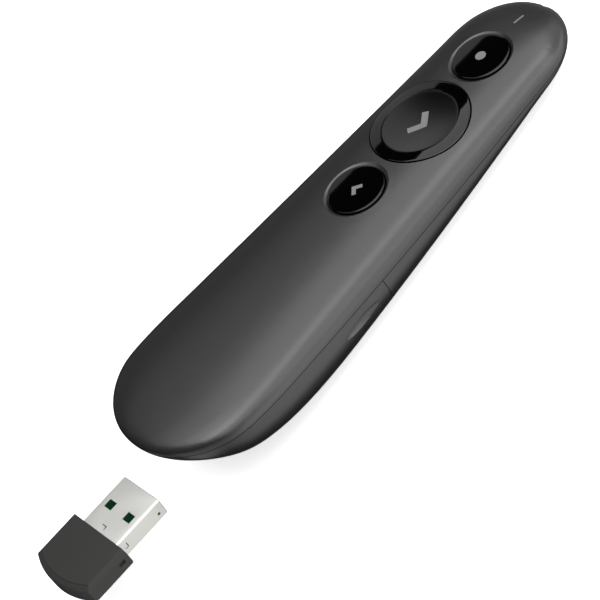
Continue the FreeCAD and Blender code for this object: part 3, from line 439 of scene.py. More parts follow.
def stand_in(piece: bpy.types.Object, body: str, node: str) -> None:
    """Lets a piece move with a body in place of its node, and reports it.

    Args:
        piece: the piece of the looks.
        body: the body that it rides on.
        node: the CAD node that it stands for.
    """
    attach(piece, body)
    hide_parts(node)
    LOG.info("%s stands for %s on %s", piece.name, node, body)


def ring_faces(count: int, turns: int, closed: bool) -> list:
    """Quads that join each ring of points to the next.

    Args:
        count: number of rings.
        turns: number of points in each ring.
        closed: whether the last ring is joined to the first.

    Returns:
        Vertex indices of each quad.
    """
    ring = np.arange(count if closed else count - 1)[:, None]
    turn = np.arange(turns)[None, :]
    after, beside = (ring + 1) % count, (turn + 1) % turns
    corners = [ring * turns + turn, ring * turns + beside, after * turns + beside, after * turns + turn]
    return np.stack(corners, -1).reshape(-1, 4).tolist()


def capped_faces(count: int, turns: int) -> list:
    """Quads that join rings to a tube, with a face over its first ring and one over its last."""
    return [*ring_faces(count, turns, closed=False), list(range(turns)),
            list(range((count - 1) * turns, count * turns))]


def plate_faces(rows: int, cols: int) -> list:
    """Faces of a thick plate, whose upper points come before the lower ones under them.

    Args:
        rows: number of points along each face's grid.
        cols: number of points across it.

    Returns:
        Vertex indices of the upper face, the lower face and the wall between their rims.
    """
    index = np.arange(rows * cols).reshape(rows, cols)
    upper = np.stack([index[:-1, :-1], index[1:, :-1], index[1:, 1:], index[:-1, 1:]], -1).reshape(-1, 4)
    lower = upper[:, ::-1] + index.size
    rim = np.concatenate([index[0], index[1:, -1], index[-1, -2::-1], index[-2:0:-1, 0]])
    after = np.roll(rim, -1)
    wall = np.stack([rim, after, after + index.size, rim + index.size], -1)
    return np.concatenate([upper, lower, wall]).tolist()


class Wall(Enum):
    """Which wall of a turned form an edge belongs to."""

    INNER = "inner"
    OUTER = "outer"


def fillet(radius: float, drop: float, rounding: float, wall: Wall, steps: int = 6) -> np.ndarray:
    """Rounded edge of a turned form: a quarter of a circle between its top and a wall.

    Args:
        radius: radius of the wall.
        drop: how far the top lies under the crown.
        rounding: radius of the edge.
        wall: whether the wall is the inner or the outer one.
        steps: number of parts of the arc.

    Returns:
        Rows (radius, drop), from the wall to the top for an inner edge and from the top to the wall for an outer one.
    """
    angle = math.pi / 2 * np.arange(steps + 1) / steps
    if wall is Wall.OUTER:
        return np.column_stack([radius - rounding + rounding * np.sin(angle),
                                drop + rounding - rounding * np.cos(angle)])
    return np.column_stack([radius + rounding - rounding * np.cos(angle), drop + rounding - rounding * np.sin(angle)])


def level_face(radii: np.ndarray, drop: float) -> np.ndarray:
    """Rows (radius, drop) of a face that lies everywhere at the same drop."""
    return np.column_stack([radii, np.full(len(radii), drop)])


def follow_crown(pairs: np.ndarray, share: float = 1.0) -> np.ndarray:
    """Rows (radius, drop, share) from rows (radius, drop), where share is how much of the crown's curve they take."""
    return np.column_stack([pairs, np.full(len(pairs), share)])


@dataclass(frozen=True)
class Turned:
    """Form turned about the deck's square, whose top follows the crown and whose foot is flat.

    The level of a point is the crown's level there times the share of its ring, less the drop of its ring.
    """

    name: str
    station: float
    top: np.ndarray
    foot: Sequence[tuple[float, float]]
    finish: Finish
    annular: bool = False
    turns: int = 160

    def make(self) -> bpy.types.Object:
        """Makes the object: the top's rings first, then the foot's, outwards and back under.

        Returns:
            The linked object.
        """
        angles = np.arange(self.turns) * (2 * math.pi / self.turns)
        profile = np.concatenate([self.top, follow_crown(np.array(self.foot), 0.0)])
        radius, drop, share = profile.T[:, :, None]
        x = radius * np.cos(angles)
        along = on_deck(self.station) + radius * np.sin(angles)
        level = share * Deck.crown_level(x, along) - drop
        points = row(Deck.body(np.stack([x, along, level], -1)))
        count = len(profile)
        faces = ring_faces(count, self.turns, closed=True) if self.annular else capped_faces(count, self.turns)
        return make_piece(self.name, points, faces, self.finish)


# Buttons


Surface = Callable[[np.ndarray, np.ndarray], np.ndarray]


class Pointing(Enum):
    """Which way a chevron points, as the sign of x."""

    LEFT = -1
    RIGHT = 1


@dataclass(frozen=True)
class Chevron:
    """Mark inlaid in a button's top: its point lies along x and its arms end square."""

    name: str
    station: float
    height: float
    reach: float
    stroke: float
    pointing: Pointing
    runs: int = 24
    lanes: int = 6
    proud: float = 0.02
    depth: float = 0.2
    crease: float = 50.0

    def _edges(self) -> tuple[np.ndarray, np.ndarray]:
        """Works out the two long edges, for a mark that points to the right.

        Each edge goes straight from one arm's end to the point and on to the other arm's end. The inner one is the
        outer one moved in by the stroke, square to the arms.

        Returns:
            The outer and the inner edge, as rows (x, along).
        """
        half = self.height / 2
        arm = math.hypot(half, self.reach)
        back, side = self.stroke * half / arm, self.stroke * self.reach / arm
        tip = (self.reach + back) / 2
        inner = tip - self.stroke * arm / half
        outer_end, inner_end = (tip - self.reach, half), (tip - self.reach - back, half - side)
        share = np.linspace(-1, 1, 2 * self.runs + 1)[:, None]
        size = np.abs(share)
        flip = np.where(share < 0, -1, 1)
        outer = np.hstack([tip + (outer_end[0] - tip) * size, outer_end[1] * size * flip])
        nearer = np.hstack([inner + (inner_end[0] - inner) * size, inner_end[1] * size * flip])
        return outer, nearer

    def make(self, surface: Surface) -> bpy.types.Object:
        """Makes the mark as a thin plate that lies in a surface.

        Lanes go straight from the outer to the inner edge. The plate's top stands proud of the surface.

        Args:
            surface: function of x and distance along the deck that gives the button's top level.

        Returns:
            The linked object.
        """
        outer, nearer = self._edges()
        lane = np.linspace(0, 1, self.lanes + 1)[None, :, None]
        flat = outer[:, None, :] * (1 - lane) + nearer[:, None, :] * lane
        x = self.pointing.value * flat[..., 0]
        along = on_deck(self.station) + flat[..., 1]
        top = surface(x, along)
        plate = np.stack([np.stack([x, along, top + self.proud], -1), np.stack([x, along, top - self.depth], -1)])
        return make_piece(self.name, row(Deck.body(plate)), plate_faces(*x.shape), ICON, self.crease)


@dataclass(frozen=True)
class Dot:
    """Round mark inlaid in a small button's top."""

    name: str
    station: float
    radius: float = 1.25
    bevel: float = 0.03
    middle: float = 0.6
    proud: float = 0.02
    depth: float = 0.3
    turns: int = 96

    def make(self, cap_proud: float) -> bpy.types.Object:
        """Makes the mark in a cap's top.

        Args:
            cap_proud: how far the cap's face stands over the crown.

        Returns:
            The linked object.
        """
        rise = cap_proud + self.proud
        flat = level_face(np.array([HUB, self.middle, self.radius - self.bevel]), -rise)
        top = follow_crown(np.vstack([flat, (self.radius, self.bevel - rise)]))
        foot = [(self.radius, self.depth), (HUB, self.depth)]
        return Turned(self.name, self.station, top, foot, ICON, turns=self.turns).make()


@dataclass(frozen=True)
class SmallCap:
    """Glossy cap with a rounded edge over the lip that keeps it in the shell."""

    name: str
    station: float
    radius: float = 6.55
    edge: float = 0.12
    proud: float = 0.16
    depth: float = 2.4
    lip: float = 0.65
    lip_thickness: float = 0.45
    face_rings: int = 13

    def surface(self, x: np.ndarray, along: np.ndarray) -> np.ndarray:
        """Level of the cap's face, which lies over the crown."""
        return Deck.crown_level(x, along) + self.proud

    def make(self) -> bpy.types.Object:
        """Makes the cap: its face, the rounded edge, the wall and the lip.

        Returns:
            The linked object.
        """
        face = level_face(np.linspace(HUB, self.radius - self.edge, self.face_rings + 1)[:-1], -self.proud)
        top = follow_crown(np.concatenate([face, fillet(self.radius, -self.proud, self.edge, Wall.OUTER)]))
        under, reach = self.depth - self.lip_thickness, self.radius + self.lip
        foot = [(self.radius, under), (reach, under), (reach, self.depth), (HUB, self.depth)]
        return Turned(self.name, self.station, top, foot, BLACK_GLOSS).make()


@dataclass(frozen=True)
class BackButton:
    """Small button in the middle of the body: a glossy cap with a chevron that points to the left."""

    cap: SmallCap = SmallCap("back_cap_gloss", BACK_STATION)
    mark: Chevron = Chevron("back_chevron_inlay", BACK_STATION, 3.5, 1.7, 0.95, Pointing.LEFT)

    def build(self) -> None:
        """Makes the button's pieces in place of their nodes."""
        stand_in(self.cap.make(), "back_button", "back_cap")
        stand_in(self.mark.make(self.cap.surface), "back_button", "back_chevron")


@dataclass(frozen=True)
class LaserButton:
    """Small button near the nose: a glossy cap with a dot."""

    cap: SmallCap = SmallCap("laser_cap_gloss", LASER_STATION)
    mark: Dot = Dot("laser_dot_inlay", LASER_STATION)

    def build(self) -> None:
        """Makes the button's pieces in place of their nodes."""
        stand_in(self.cap.make(), "laser_button", "laser_cap")
        stand_in(self.mark.make(self.cap.proud), "laser_button", "laser_dot")


@dataclass(frozen=True)
class NextButton:
    """Large button: a glossy ring round a lower matte dish with a chevron that points to the right."""

    station: float = NEXT_STATION
    radius: float = 11.42
    dish_radius: float = 8.75
    edge: float = 0.12
    proud: float = 0.2
    depth: float = 3.4
    lip: float = 0.65
    lip_thickness: float = 0.45
    dish_gap: float = 0.03
    dish_drop: float = -0.1
    dish_sag: float = 0.9
    dish_foot: float = 2.4
    dish_edge: float = 0.08
    ring_rings: int = 6
    dish_rings: int = 24
    turns: int = 240
    mark: Chevron = Chevron("next_chevron_inlay", NEXT_STATION, 6.9, 2.6, 1.55, Pointing.RIGHT)

    def surface(self, x: np.ndarray, along: np.ndarray) -> np.ndarray:
        """Level of the dish's face, which follows the crown at its rim and sags to its middle.

        The share of the crown's curve grows with the square of the way from the middle to the rim, and the sag
        shrinks with it.

        Args:
            x: distances from the middle line.
            along: distances along the deck.

        Returns:
            Levels over the deck.
        """
        reach = np.hypot(x, along - on_deck(self.station))
        share = np.clip(reach / self.dish_radius, 0, 1) ** 2
        return share * Deck.crown_level(x, along) - self.dish_drop - self.dish_sag * (1 - share)

    def make_ring(self) -> bpy.types.Object:
        """Makes the ring: a level face between two rounded edges, and a lip at the foot of both walls.

        Returns:
            The linked object.
        """
        radii = np.linspace(self.dish_radius + self.edge, self.radius - self.edge, self.ring_rings + 2)[1:-1]
        top = follow_crown(np.concatenate([fillet(self.dish_radius, -self.proud, self.edge, Wall.INNER),
                                           level_face(radii, -self.proud),
                                           fillet(self.radius, -self.proud, self.edge, Wall.OUTER)]))
        under, reach = self.depth - self.lip_thickness, self.radius + self.lip
        ledge = self.dish_radius - self.lip
        foot = [(self.radius, under), (reach, under), (reach, self.depth), (ledge, self.depth),
                (ledge, self.dish_foot), (self.dish_radius, self.dish_foot)]
        return Turned("next_ring_gloss", self.station, top, foot, BLACK_GLOSS, annular=True, turns=self.turns).make()

    def make_dish(self) -> bpy.types.Object:
        """Makes the dish: the sagging face of surface() with a rounded edge.

        Returns:
            The linked object.
        """
        radius = self.dish_radius - self.dish_gap
        reach = np.linspace(HUB, radius - self.dish_edge, self.dish_rings)
        share = (reach / self.dish_radius) ** 2
        drop = self.dish_drop + self.dish_sag * (1 - share)
        rim = fillet(radius, drop[-1], self.dish_edge, Wall.OUTER)[1:]
        top = np.concatenate([np.column_stack([reach, drop, share]), follow_crown(rim, share[-1])])
        foot = [(radius, self.dish_foot), (HUB, self.dish_foot)]
        return Turned("next_dish_matte", self.station, top, foot, BLACK_DISH, turns=self.turns).make()

    def build(self) -> None:
        """Makes the button's pieces in place of their nodes."""
        stand_in(self.make_ring(), "next_button", "next_ring")
        stand_in(self.make_dish(), "next_button", "next_dish")
        stand_in(self.mark.make(self.surface), "next_button", "next_chevron")


# Receiver


@dataclass(frozen=True)
class ReceiverFrame:
    """Frame of the receiver: y towards the plug's tip, z square to the deck, origin in the cap's front face."""

    station: float = -16.5
    depth: float = 16.15

    def place(self, points: np.ndarray) -> np.ndarray:
        """Moves points of the receiver's own frame to the row frame.

        Args:
            points: array whose last axis is (x, y, z) in millimetres.

        Returns:
            The same points in metres of the row frame.
        """
        moved = np.asarray(points, float).copy()
        moved[..., 1] += on_deck(self.station)
        moved[..., 2] -= self.depth
        return row(Deck.body(moved))

    def box_cutter(self, name: str, low: Sequence[float], high: Sequence[float]) -> bpy.types.Object:
        """Makes a box that cuts a piece and is then deleted.

        Args:
            name: name of the cutter.
            low: its lowest corner in the receiver's frame.
            high: its highest corner.

        Returns:
            The cutter.
        """
        (x0, y0, z0), (x1, y1, z1) = low, high
        plan = [(x0, y0), (x1, y0), (x1, y1), (x0, y1)]
        corners = np.array([(x, y, z) for z in (z0, z1) for x, y in plan])
        return make_piece(name, self.place(corners), capped_faces(2, len(plan)), CHIP)


FRAME = ReceiverFrame()


def carve(piece: bpy.types.Object, cutters: list[bpy.types.Object], crease: float) -> None:
    """Cuts the cutters out of a piece, deletes them and shades the piece anew.

    Args:
        piece: the piece to cut.
        cutters: solids to take away.
        crease: edges that bend by more degrees than this stay sharp.
    """
    for tool in cutters:
        change = piece.modifiers.new(tool.name, "BOOLEAN")
        change.operation = "DIFFERENCE"
        change.solver = "EXACT"
        change.object = tool
    view = bpy.context.evaluated_depsgraph_get()
    carved = bpy.data.meshes.new_from_object(piece.evaluated_get(view))
    piece.modifiers.clear()
    old = piece.data
    piece.data = carved
    carved.name = piece.name
    bpy.data.meshes.remove(old)
    for tool in cutters:
        mesh = tool.data
        bpy.data.objects.remove(tool)
        bpy.data.meshes.remove(mesh)
    shade(carved, crease)


@dataclass(frozen=True)
class Layer:
    """Level of the receiver's cap: its height, and how far its flanks and its curved end are drawn in there."""

    height: float
    side: float
    end: float


@dataclass(frozen=True)
class ReceiverCap:
    """Matte cap with chamfered sides and a stepped lip along its curved end.

    crest is the share of the softening at the lip's edge, undercut the small recess under the lip and slopes the
    levels of the chamfer: depth under the top, share of the chamfer at the flanks and distance at the end.
    """

    width: float = 18.7
    length: float = 13.5
    thickness: float = 6.1
    end_radius: float = 18.7
    side_chamfer: float = 1.12
    side_wall: float = 0.9
    under_chamfer: float = 1.7
    soft: float = 0.12
    lip: float = 1.42
    lip_step: float = 0.22
    crest: Layer = Layer(0.3, 0.2, 0.0)
    ledge: float = 0.05
    undercut: Layer = Layer(0.04, 0.06, 0.16)
    slopes: tuple[Layer, Layer] = (Layer(0.62, 0.42, 0.42), Layer(0.86, 0.22, 0.16))
    slope_foot: tuple[float, float] = (0.05, 0.03)
    wall_foot: float = 0.05
    notch_depth: float = 0.5
    notch_along: tuple[float, float] = (-2.7, -1.2)
    notch_level: tuple[float, float] = (0.35, 1.5)
    end_points: int = 60
    side_points: int = 12
    front_points: int = 19
    crease: float = 24.0

    def _contour(self, side: float, end: float) -> np.ndarray:
        """Plan outline: an arc of a circle for the curved end, then straight flanks and front.

        Args:
            side: how far the flanks are drawn in.
            end: how far the curved end is drawn in.

        Returns:
            Rows (x, y).
        """
        half = self.width / 2 - side
        centre = self.end_radius - self.length
        arc_radius = self.end_radius - end
        x = np.linspace(-half, half, self.end_points)
        arc = np.stack([x, centre - np.sqrt(arc_radius**2 - x**2)], -1)
        count = self.side_points
        right = np.stack([np.full(count, half), np.linspace(arc[-1, 1], 0, count + 1)[1:]], -1)
        front = np.stack([np.linspace(half, -half, self.front_points + 1)[1:], np.zeros(self.front_points)], -1)
        left = np.stack([np.full(count, -half), np.linspace(0, arc[0, 1], count + 1)[1:]], -1)
        return np.concatenate([arc, right, front, left[:-1]])

    def _layers(self) -> list[Layer]:
        """Lists the cap's levels from its top to its underside.

        Returns:
            The levels of the top and its lip, the recess under it, the sloped chamfer, the wall and the under-chamfer.
        """
        half, cham, soft = self.thickness / 2, self.side_chamfer, self.soft
        crest, undercut, under = self.crest, self.undercut, self.under_chamfer
        step, drawn = half - self.lip_step, cham - self.lip_step
        lip = [Layer(half, cham + soft, self.lip + soft),
               Layer(half - soft * crest.height, cham - soft * crest.side, self.lip - soft * crest.end),
               Layer(step, drawn, self.lip - self.ledge),
               Layer(step - undercut.height, drawn - undercut.side, self.lip - undercut.end)]
        slope = [Layer(half - level.height, cham * level.side, level.end) for level in self.slopes]
        wall = [Layer(half - cham, *self.slope_foot), Layer(half - cham - soft, 0.0, 0.0),
                Layer(-self.side_wall, 0.0, 0.0), Layer(-self.side_wall - soft, self.wall_foot, self.wall_foot)]
        below = [Layer(soft - half, under - soft, under - soft), Layer(-half, under + soft, under + soft)]
        return lip + slope + wall + below

    def make(self) -> bpy.types.Object:
        """Makes the cap: one contour for each layer, and a notch in its right flank.

        Returns:
            The linked object.
        """
        rings = []
        for layer in self._layers():
            contour = self._contour(layer.side, layer.end)
            rings.append(np.column_stack([contour, np.full(len(contour), layer.height)]))
        faces = capped_faces(len(rings), len(rings[0]))
        cap = make_piece("receiver_cap_matte", FRAME.place(np.array(rings)), faces, CAP_PLASTIC, self.crease)
        flank, (near, far), (low, high) = self.width / 2, self.notch_along, self.notch_level
        notch = FRAME.box_cutter("notch_cut", (flank - self.notch_depth, near, low),
                                 (flank + self.notch_depth, far, high))
        carve(cap, [notch], self.crease)
        return cap


@dataclass(frozen=True)
class PlugShield:
    """Folded bright sleeve with rounded long edges, windows, latch cuts and a side hole."""

    width: float = 12.0
    height: float = 4.5
    length: float = 12.6
    root: float = 5.0
    sheet: float = 0.3
    edge: float = 0.09
    inner_edge: float = 0.05
    corner: float = 0.42
    least_corner: float = 0.12
    corner_steps: int = 8
    window: tuple[float, float] = (2.3, 2.0)
    window_spread: float = 6.4
    window_setback: float = 6.55
    slit: float = 0.2
    latch_along: tuple[float, float] = (1.0, 1.75)
    top_latch: tuple[float, float] = (-1.0, 0.35)
    side_latch: tuple[float, float] = (-0.55, 0.75)
    hole_radius: float = 0.36
    hole_setback: float = 1.7
    hole_level: float = -0.6
    hole_points: int = 20
    crease: float = 40.0

    def _loop(self, inset: float) -> np.ndarray:
        """Section of the sleeve: a quarter of a circle about each corner's centre.

        Args:
            inset: how far the section is drawn in.

        Returns:
            Rows (x, z).
        """
        radius = max(self.corner - inset, self.least_corner)
        side, rise = self.width / 2 - inset - radius, self.height / 2 - inset - radius
        start = np.array([0.0, 0.5, 1.0, 1.5])[:, None]
        angle = math.pi * (start + 0.5 * np.arange(self.corner_steps + 1) / self.corner_steps)
        x = np.array([1, -1, -1, 1])[:, None] * side + radius * np.cos(angle)
        z = np.array([1, 1, -1, -1])[:, None] * rise + radius * np.sin(angle)
        return np.stack([x, z], -1).reshape(-1, 2)

    def _hole_cutter(self) -> bpy.types.Object:
        """Makes the round cutter for the small hole near the tip of the right side.

        Returns:
            The cutter.
        """
        count, side, over = self.hole_points, self.width / 2, 2 * self.sheet
        angles = np.arange(count) * (2 * math.pi / count)
        y = self.length - self.hole_setback + self.hole_radius * np.cos(angles)
        z = self.hole_level + self.hole_radius * np.sin(angles)
        rings = np.array([np.stack([np.full(count, x), y, z], -1) for x in (side - over, side + over)])
        return make_piece("hole_cut", FRAME.place(rings), capped_faces(2, count), CHIP)

    def _cutters(self) -> list[bpy.types.Object]:
        """Makes what is cut out: a window on each side of the middle, two latch slits with a short leg, a hole.

        Returns:
            The cutters.
        """
        top, side, tall, over = self.height / 2, self.width / 2, self.height, 2 * self.sheet
        half_x, half_y = self.window[0] / 2, self.window[1] / 2
        middle = self.length - self.window_setback
        left, right = -self.window_spread / 2, self.window_spread / 2
        foot, end = self.latch_along
        long_end = end + self.slit
        (start, stop), (low, high) = self.top_latch, self.side_latch
        boxes = [
            ("window_cut", (left - half_x, middle - half_y, -tall), (left + half_x, middle + half_y, tall)),
            ("window_cut", (right - half_x, middle - half_y, -tall), (right + half_x, middle + half_y, tall)),
            ("latch_cut", (start, end, top - over), (stop, long_end, top + over)),
            ("latch_cut", (stop - self.slit, foot, top - over), (stop, end, top + over)),
            ("latch_cut", (side - over, end, low), (side + over, long_end, high)),
            ("latch_cut", (side - over, foot, low), (side + over, end, low + self.slit)),
        ]
        return [FRAME.box_cutter(*box) for box in boxes] + [self._hole_cutter()]

    def make(self) -> bpy.types.Object:
        """Makes the sleeve: its section carried out to the tip, turned in there and carried back inside.

        Returns:
            The linked object.
        """
        tip, sheet = self.length, self.sheet
        sections = [(-self.root, 0.0), (tip - self.edge, 0.0), (tip, self.edge), (tip, sheet - self.inner_edge),
                    (tip - self.inner_edge, sheet), (-self.root, sheet)]
        rings = []
        for y, inset in sections:
            loop = self._loop(inset)
            rings.append(np.column_stack([loop[:, 0], np.full(len(loop), y), loop[:, 1]]))
        faces = ring_faces(len(rings), len(rings[0]), closed=True)
        sleeve = make_piece("receiver_shield_bright", FRAME.place(np.array(rings)), faces, NICKEL, self.crease)
        carve(sleeve, self._cutters(), self.crease)
        return sleeve


@dataclass(frozen=True)
class Receiver:
    """Plug-in receiver: a matte cap and the plug's bright shield."""

    cap: ReceiverCap = ReceiverCap()
    shield: PlugShield = PlugShield()

    def build(self) -> None:
        """Makes the receiver's visible pieces in place of their nodes."""
        stand_in(self.cap.make(), "receiver", "receiver_cap")
        stand_in(self.shield.make(), "receiver", "receiver_shield")


def dress_nodes(nodes: dict[str, bpy.types.Object]) -> None:
    """Gives every carried-over CAD node its finish, and reports it.

    Args:
        nodes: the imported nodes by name.
    """
    for name, node in nodes.items():
        finish = NODE_FINISHES[name]
        node.data.materials.clear()
        node.data.materials.append(finish.material())
        LOG.info("%s is finished as %s", name, finish.name)


# Studio


@dataclass(frozen=True)
class Camera:
    """The photograph's camera, fitted to the body's outline. Its spot is in millimetres of the row frame."""

    name: str = "photo_camera"
    spot: tuple[float, float, float] = (315.594, -79.825, 341.883)
    right: tuple[float, float, float] = (0.63925, 0.608864, -0.469727)
    up: tuple[float, float, float] = (-0.356108, 0.775769, 0.520932)
    back: tuple[float, float, float] = (0.681577, -0.165732, 0.712732)
    lens: float = 131.87
    sensor: float = 36.0
    nearest: float = 0.01
    furthest: float = 10.0

    def make(self) -> None:
        """Puts the camera in the scene."""
        data = bpy.data.cameras.new(self.name)
        data.lens = self.lens
        data.sensor_width = self.sensor
        data.clip_start = self.nearest
        data.clip_end = self.furthest
        camera = bpy.data.objects.new(self.name, data)
        turn = Matrix((self.right, self.up, self.back)).transposed()
        camera.matrix_world = Matrix.Translation(Vector(self.spot) * MM) @ turn.to_4x4()
        bpy.context.scene.collection.objects.link(camera)
        bpy.context.scene.camera = camera


# Power that gives a lamp of one square metre the brightness 1.
POWER_PER_AREA = 4.0


@dataclass(frozen=True)
class Softbox:
    """Rectangular lamp: its size across and along the body, its face's brightness, its direction and its place."""

    name: str
    size: tuple[float, float]
    radiance: float
    away: Vector
    spot: Vector

    def make(self, lit: bpy.types.Collection) -> None:
        """Puts the softbox in the scene, with its face turned against the direction away.

        Args:
            lit: collection of the objects that it lights.
        """
        width, length = self.size
        data = bpy.data.lights.new(self.name, "AREA")
        data.shape = "RECTANGLE"
        data.size, data.size_y = width, length
        data.energy = self.radiance * POWER_PER_AREA * width * length
        light = bpy.data.objects.new(self.name, data)
        across = Vector((0.0, 1.0, 0.0)).cross(self.away).normalized()
        turn = Matrix((across, self.away.cross(across), self.away)).transposed().to_4x4()
        light.matrix_world = Matrix.Translation(self.spot) @ turn
        light.light_linking.receiver_collection = lit
        bpy.context.scene.collection.objects.link(light)


# Distance of the panels from the line that they face, and that line's height.
PANEL_DISTANCE = 0.9
PANEL_CENTRE = 0.012


def panel(name: str, start: float, end: float, radiance: float, near: float = -0.40, far: float = 0.90) -> Softbox:
    """Softbox parallel to the body, which faces its line over a band of angles.

    Args:
        name: name of the lamp.
        start: where the band starts, in degrees up from the left horizon and on down to the right one.
        end: where it ends.
        radiance: brightness of its face.
        near: its end towards the tail, along the body.
        far: its end towards the nose.

    Returns:
        The softbox.
    """
    middle = math.radians((start + end) / 2)
    width = 2 * PANEL_DISTANCE * math.tan(math.radians(end - start) / 2)
    away = Vector((-math.cos(middle), 0.0, math.sin(middle)))
    spot = away * PANEL_DISTANCE + Vector((0.0, (far + near) / 2, PANEL_CENTRE))
    return Softbox(name, (width, far - near), radiance, away, spot)


# Along the body: where a band's two panels meet, and where the longest panels end.
SPLIT = 0.22
LONG = 1.1
AHEAD = Vector((0.25, 0.9, 0.35)).normalized()
AHEAD_DISTANCE = 1.1
SHELL_LIGHTS = (
    panel("shell_left_dim", 4.0, 20.0, 0.1),
    panel("shell_edge_near", 50.0, 70.0, 1.45, far=SPLIT),
    panel("shell_edge_far", 50.0, 70.0, 2.4, near=SPLIT, far=LONG),
    panel("shell_top_near", 70.0, 90.0, 2.9, far=SPLIT),
    panel("shell_top_far", 70.0, 90.0, 2.1, near=SPLIT, far=LONG),
    panel("shell_crease_near", 90.0, 112.0, 5.0, far=SPLIT),
    panel("shell_crease_far", 90.0, 112.0, 3.8, near=SPLIT, far=LONG),
    panel("shell_right", 113.0, 140.0, 2.35, far=LONG),
    panel("shell_low_near", 140.0, 178.0, 1.0, far=SPLIT),
    panel("shell_low_far", 140.0, 178.0, 2.7, near=SPLIT, far=LONG),
    Softbox("shell_ahead", (1.6, 1.2), 0.9, AHEAD, AHEAD_DISTANCE * AHEAD),
)
DISH_LIGHTS = (
    panel("dish_ahead", 0.0, 112.0, 0.72, near=0.40, far=1.7),
)
OTHER_LIGHTS = (
    panel("gloss_left", 8.0, 39.5, 0.45),
    panel("gloss_overhead", 52.0, 98.0, 1.25),
    panel("gloss_crease", 98.0, 127.0, 3.6),
    panel("gloss_right", 127.0, 172.0, 1.6),
)
SHELL_NODES = ("top_shell", "front_lower_shell", "battery_door")
DISH_PIECE = "next_dish_matte"


def make_lights(nodes: dict[str, bpy.types.Object]) -> None:
    """Lights the satin shells, the matte dish and everything else by softboxes of their own.

    Args:
        nodes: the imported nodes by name.
    """
    dish = bpy.data.objects[DISH_PIECE]
    satin = [nodes[name] for name in SHELL_NODES]
    rest = [item for item in bpy.context.scene.objects if item.type == "MESH" and item not in satin + [dish]]
    for label, items, softboxes in (("shells", satin, SHELL_LIGHTS), ("dish", [dish], DISH_LIGHTS),
                                    ("others", rest, OTHER_LIGHTS)):
        lit = bpy.data.collections.new("lit_" + label)
        for item in items:
            lit.objects.link(item)
        for softbox in softboxes:
            softbox.make(lit)
        LOG.info("%d softboxes light the %s", len(softboxes), label)


WHITE = (1.0, 1.0, 1.0, 1.0)
# Strength of the dim surroundings that show between the softboxes.
ROOM_STRENGTH = 0.012


@dataclass(frozen=True)
class Graph:
    """Node tree of the studio, with short ways to add and join what its shaders need."""

    tree: bpy.types.NodeTree

    def shader(self, kind: str, output: str, color: Sequence[float],
               strength: float | None = None) -> bpy.types.NodeSocket:
        """Adds a shader of one color.

        Args:
            kind: type of the node.
            output: name of its output.
            color: its color with alpha.
            strength: its strength, where it has one that is a number.

        Returns:
            The shader's output.
        """
        node = self.tree.nodes.new(kind)
        node.inputs["Color"].default_value = color
        if strength is not None:
            node.inputs["Strength"].default_value = strength
        return node.outputs[output]

    def mix(self, share: bpy.types.NodeSocket, first: bpy.types.NodeSocket,
            second: bpy.types.NodeSocket) -> bpy.types.NodeSocket:
        """Adds a mix of two shaders.

        Args:
            share: output that is 0 where the first shows and 1 where the second does.
            first: output of a shader.
            second: output of another.

        Returns:
            The mixed shader's output.
        """
        node = self.tree.nodes.new("ShaderNodeMixShader")
        for socket, value in zip(node.inputs, (share, first, second)):
            self.tree.links.new(value, socket)
        return node.outputs["Shader"]

    def step(self, value: bpy.types.NodeSocket, start: float, end: float) -> bpy.types.NodeSocket:
        """Adds a smooth step: 0 on the start's side, 1 on the end's side and a smooth change between them.

        Args:
            value: output to compare.
            start: value where the step leaves 0.
            end: value where it reaches 1, which may be the lower one.

        Returns:
            The step's output.
        """
        node = self.tree.nodes.new("ShaderNodeMapRange")
        node.interpolation_type = "SMOOTHSTEP"
        node.inputs["From Min"].default_value = min(start, end)
        node.inputs["From Max"].default_value = max(start, end)
        if start > end:
            node.inputs["To Min"].default_value = 1.0
            node.inputs["To Max"].default_value = 0.0
        self.tree.links.new(value, node.inputs["Value"])
        return node.outputs["Result"]

    def combine(self, operation: str, first: bpy.types.NodeSocket,
                second: bpy.types.NodeSocket | float) -> bpy.types.NodeSocket:
        """Adds a sum, product or the like.

        Args:
            operation: name of the operation.
            first: output to work on.
            second: another output or a number.

        Returns:
            The result's output.
        """
        node = self.tree.nodes.new("ShaderNodeMath")
        node.operation = operation
        self.tree.links.new(first, node.inputs[0])
        if isinstance(second, float):
            node.inputs[1].default_value = second
        else:
            self.tree.links.new(second, node.inputs[1])
        return node.outputs["Value"]

    def times(self, first: bpy.types.NodeSocket, second: bpy.types.NodeSocket | float) -> bpy.types.NodeSocket:
        """Adds a product."""
        return self.combine("MULTIPLY", first, second)

    def plus(self, first: bpy.types.NodeSocket, second: bpy.types.NodeSocket | float) -> bpy.types.NodeSocket:
        """Adds a sum."""
        return self.combine("ADD", first, second)


def make_world() -> None:
    """Makes the surroundings: white for the camera, a dim grey for what reflects."""
    world = bpy.data.worlds.new("studio")
    world.use_nodes = True
    tree = world.node_tree
    tree.nodes.clear()
    graph = Graph(tree)
    out = tree.nodes.new("ShaderNodeOutputWorld")
    path = tree.nodes.new("ShaderNodeLightPath")
    white = graph.shader("ShaderNodeBackground", "Background", WHITE, 1.0)
    room = graph.shader("ShaderNodeBackground", "Background", WHITE, ROOM_STRENGTH)
    tree.links.new(graph.mix(path.outputs["Is Camera Ray"], room, white), out.inputs["Surface"])
    bpy.context.scene.world = world


@dataclass(frozen=True)
class Patch:
    """Part of the floor that glossy faces show: where it starts and is full, across and along, and how bright it is."""

    across: tuple[float, float]
    along: tuple[float, float]
    strength: float


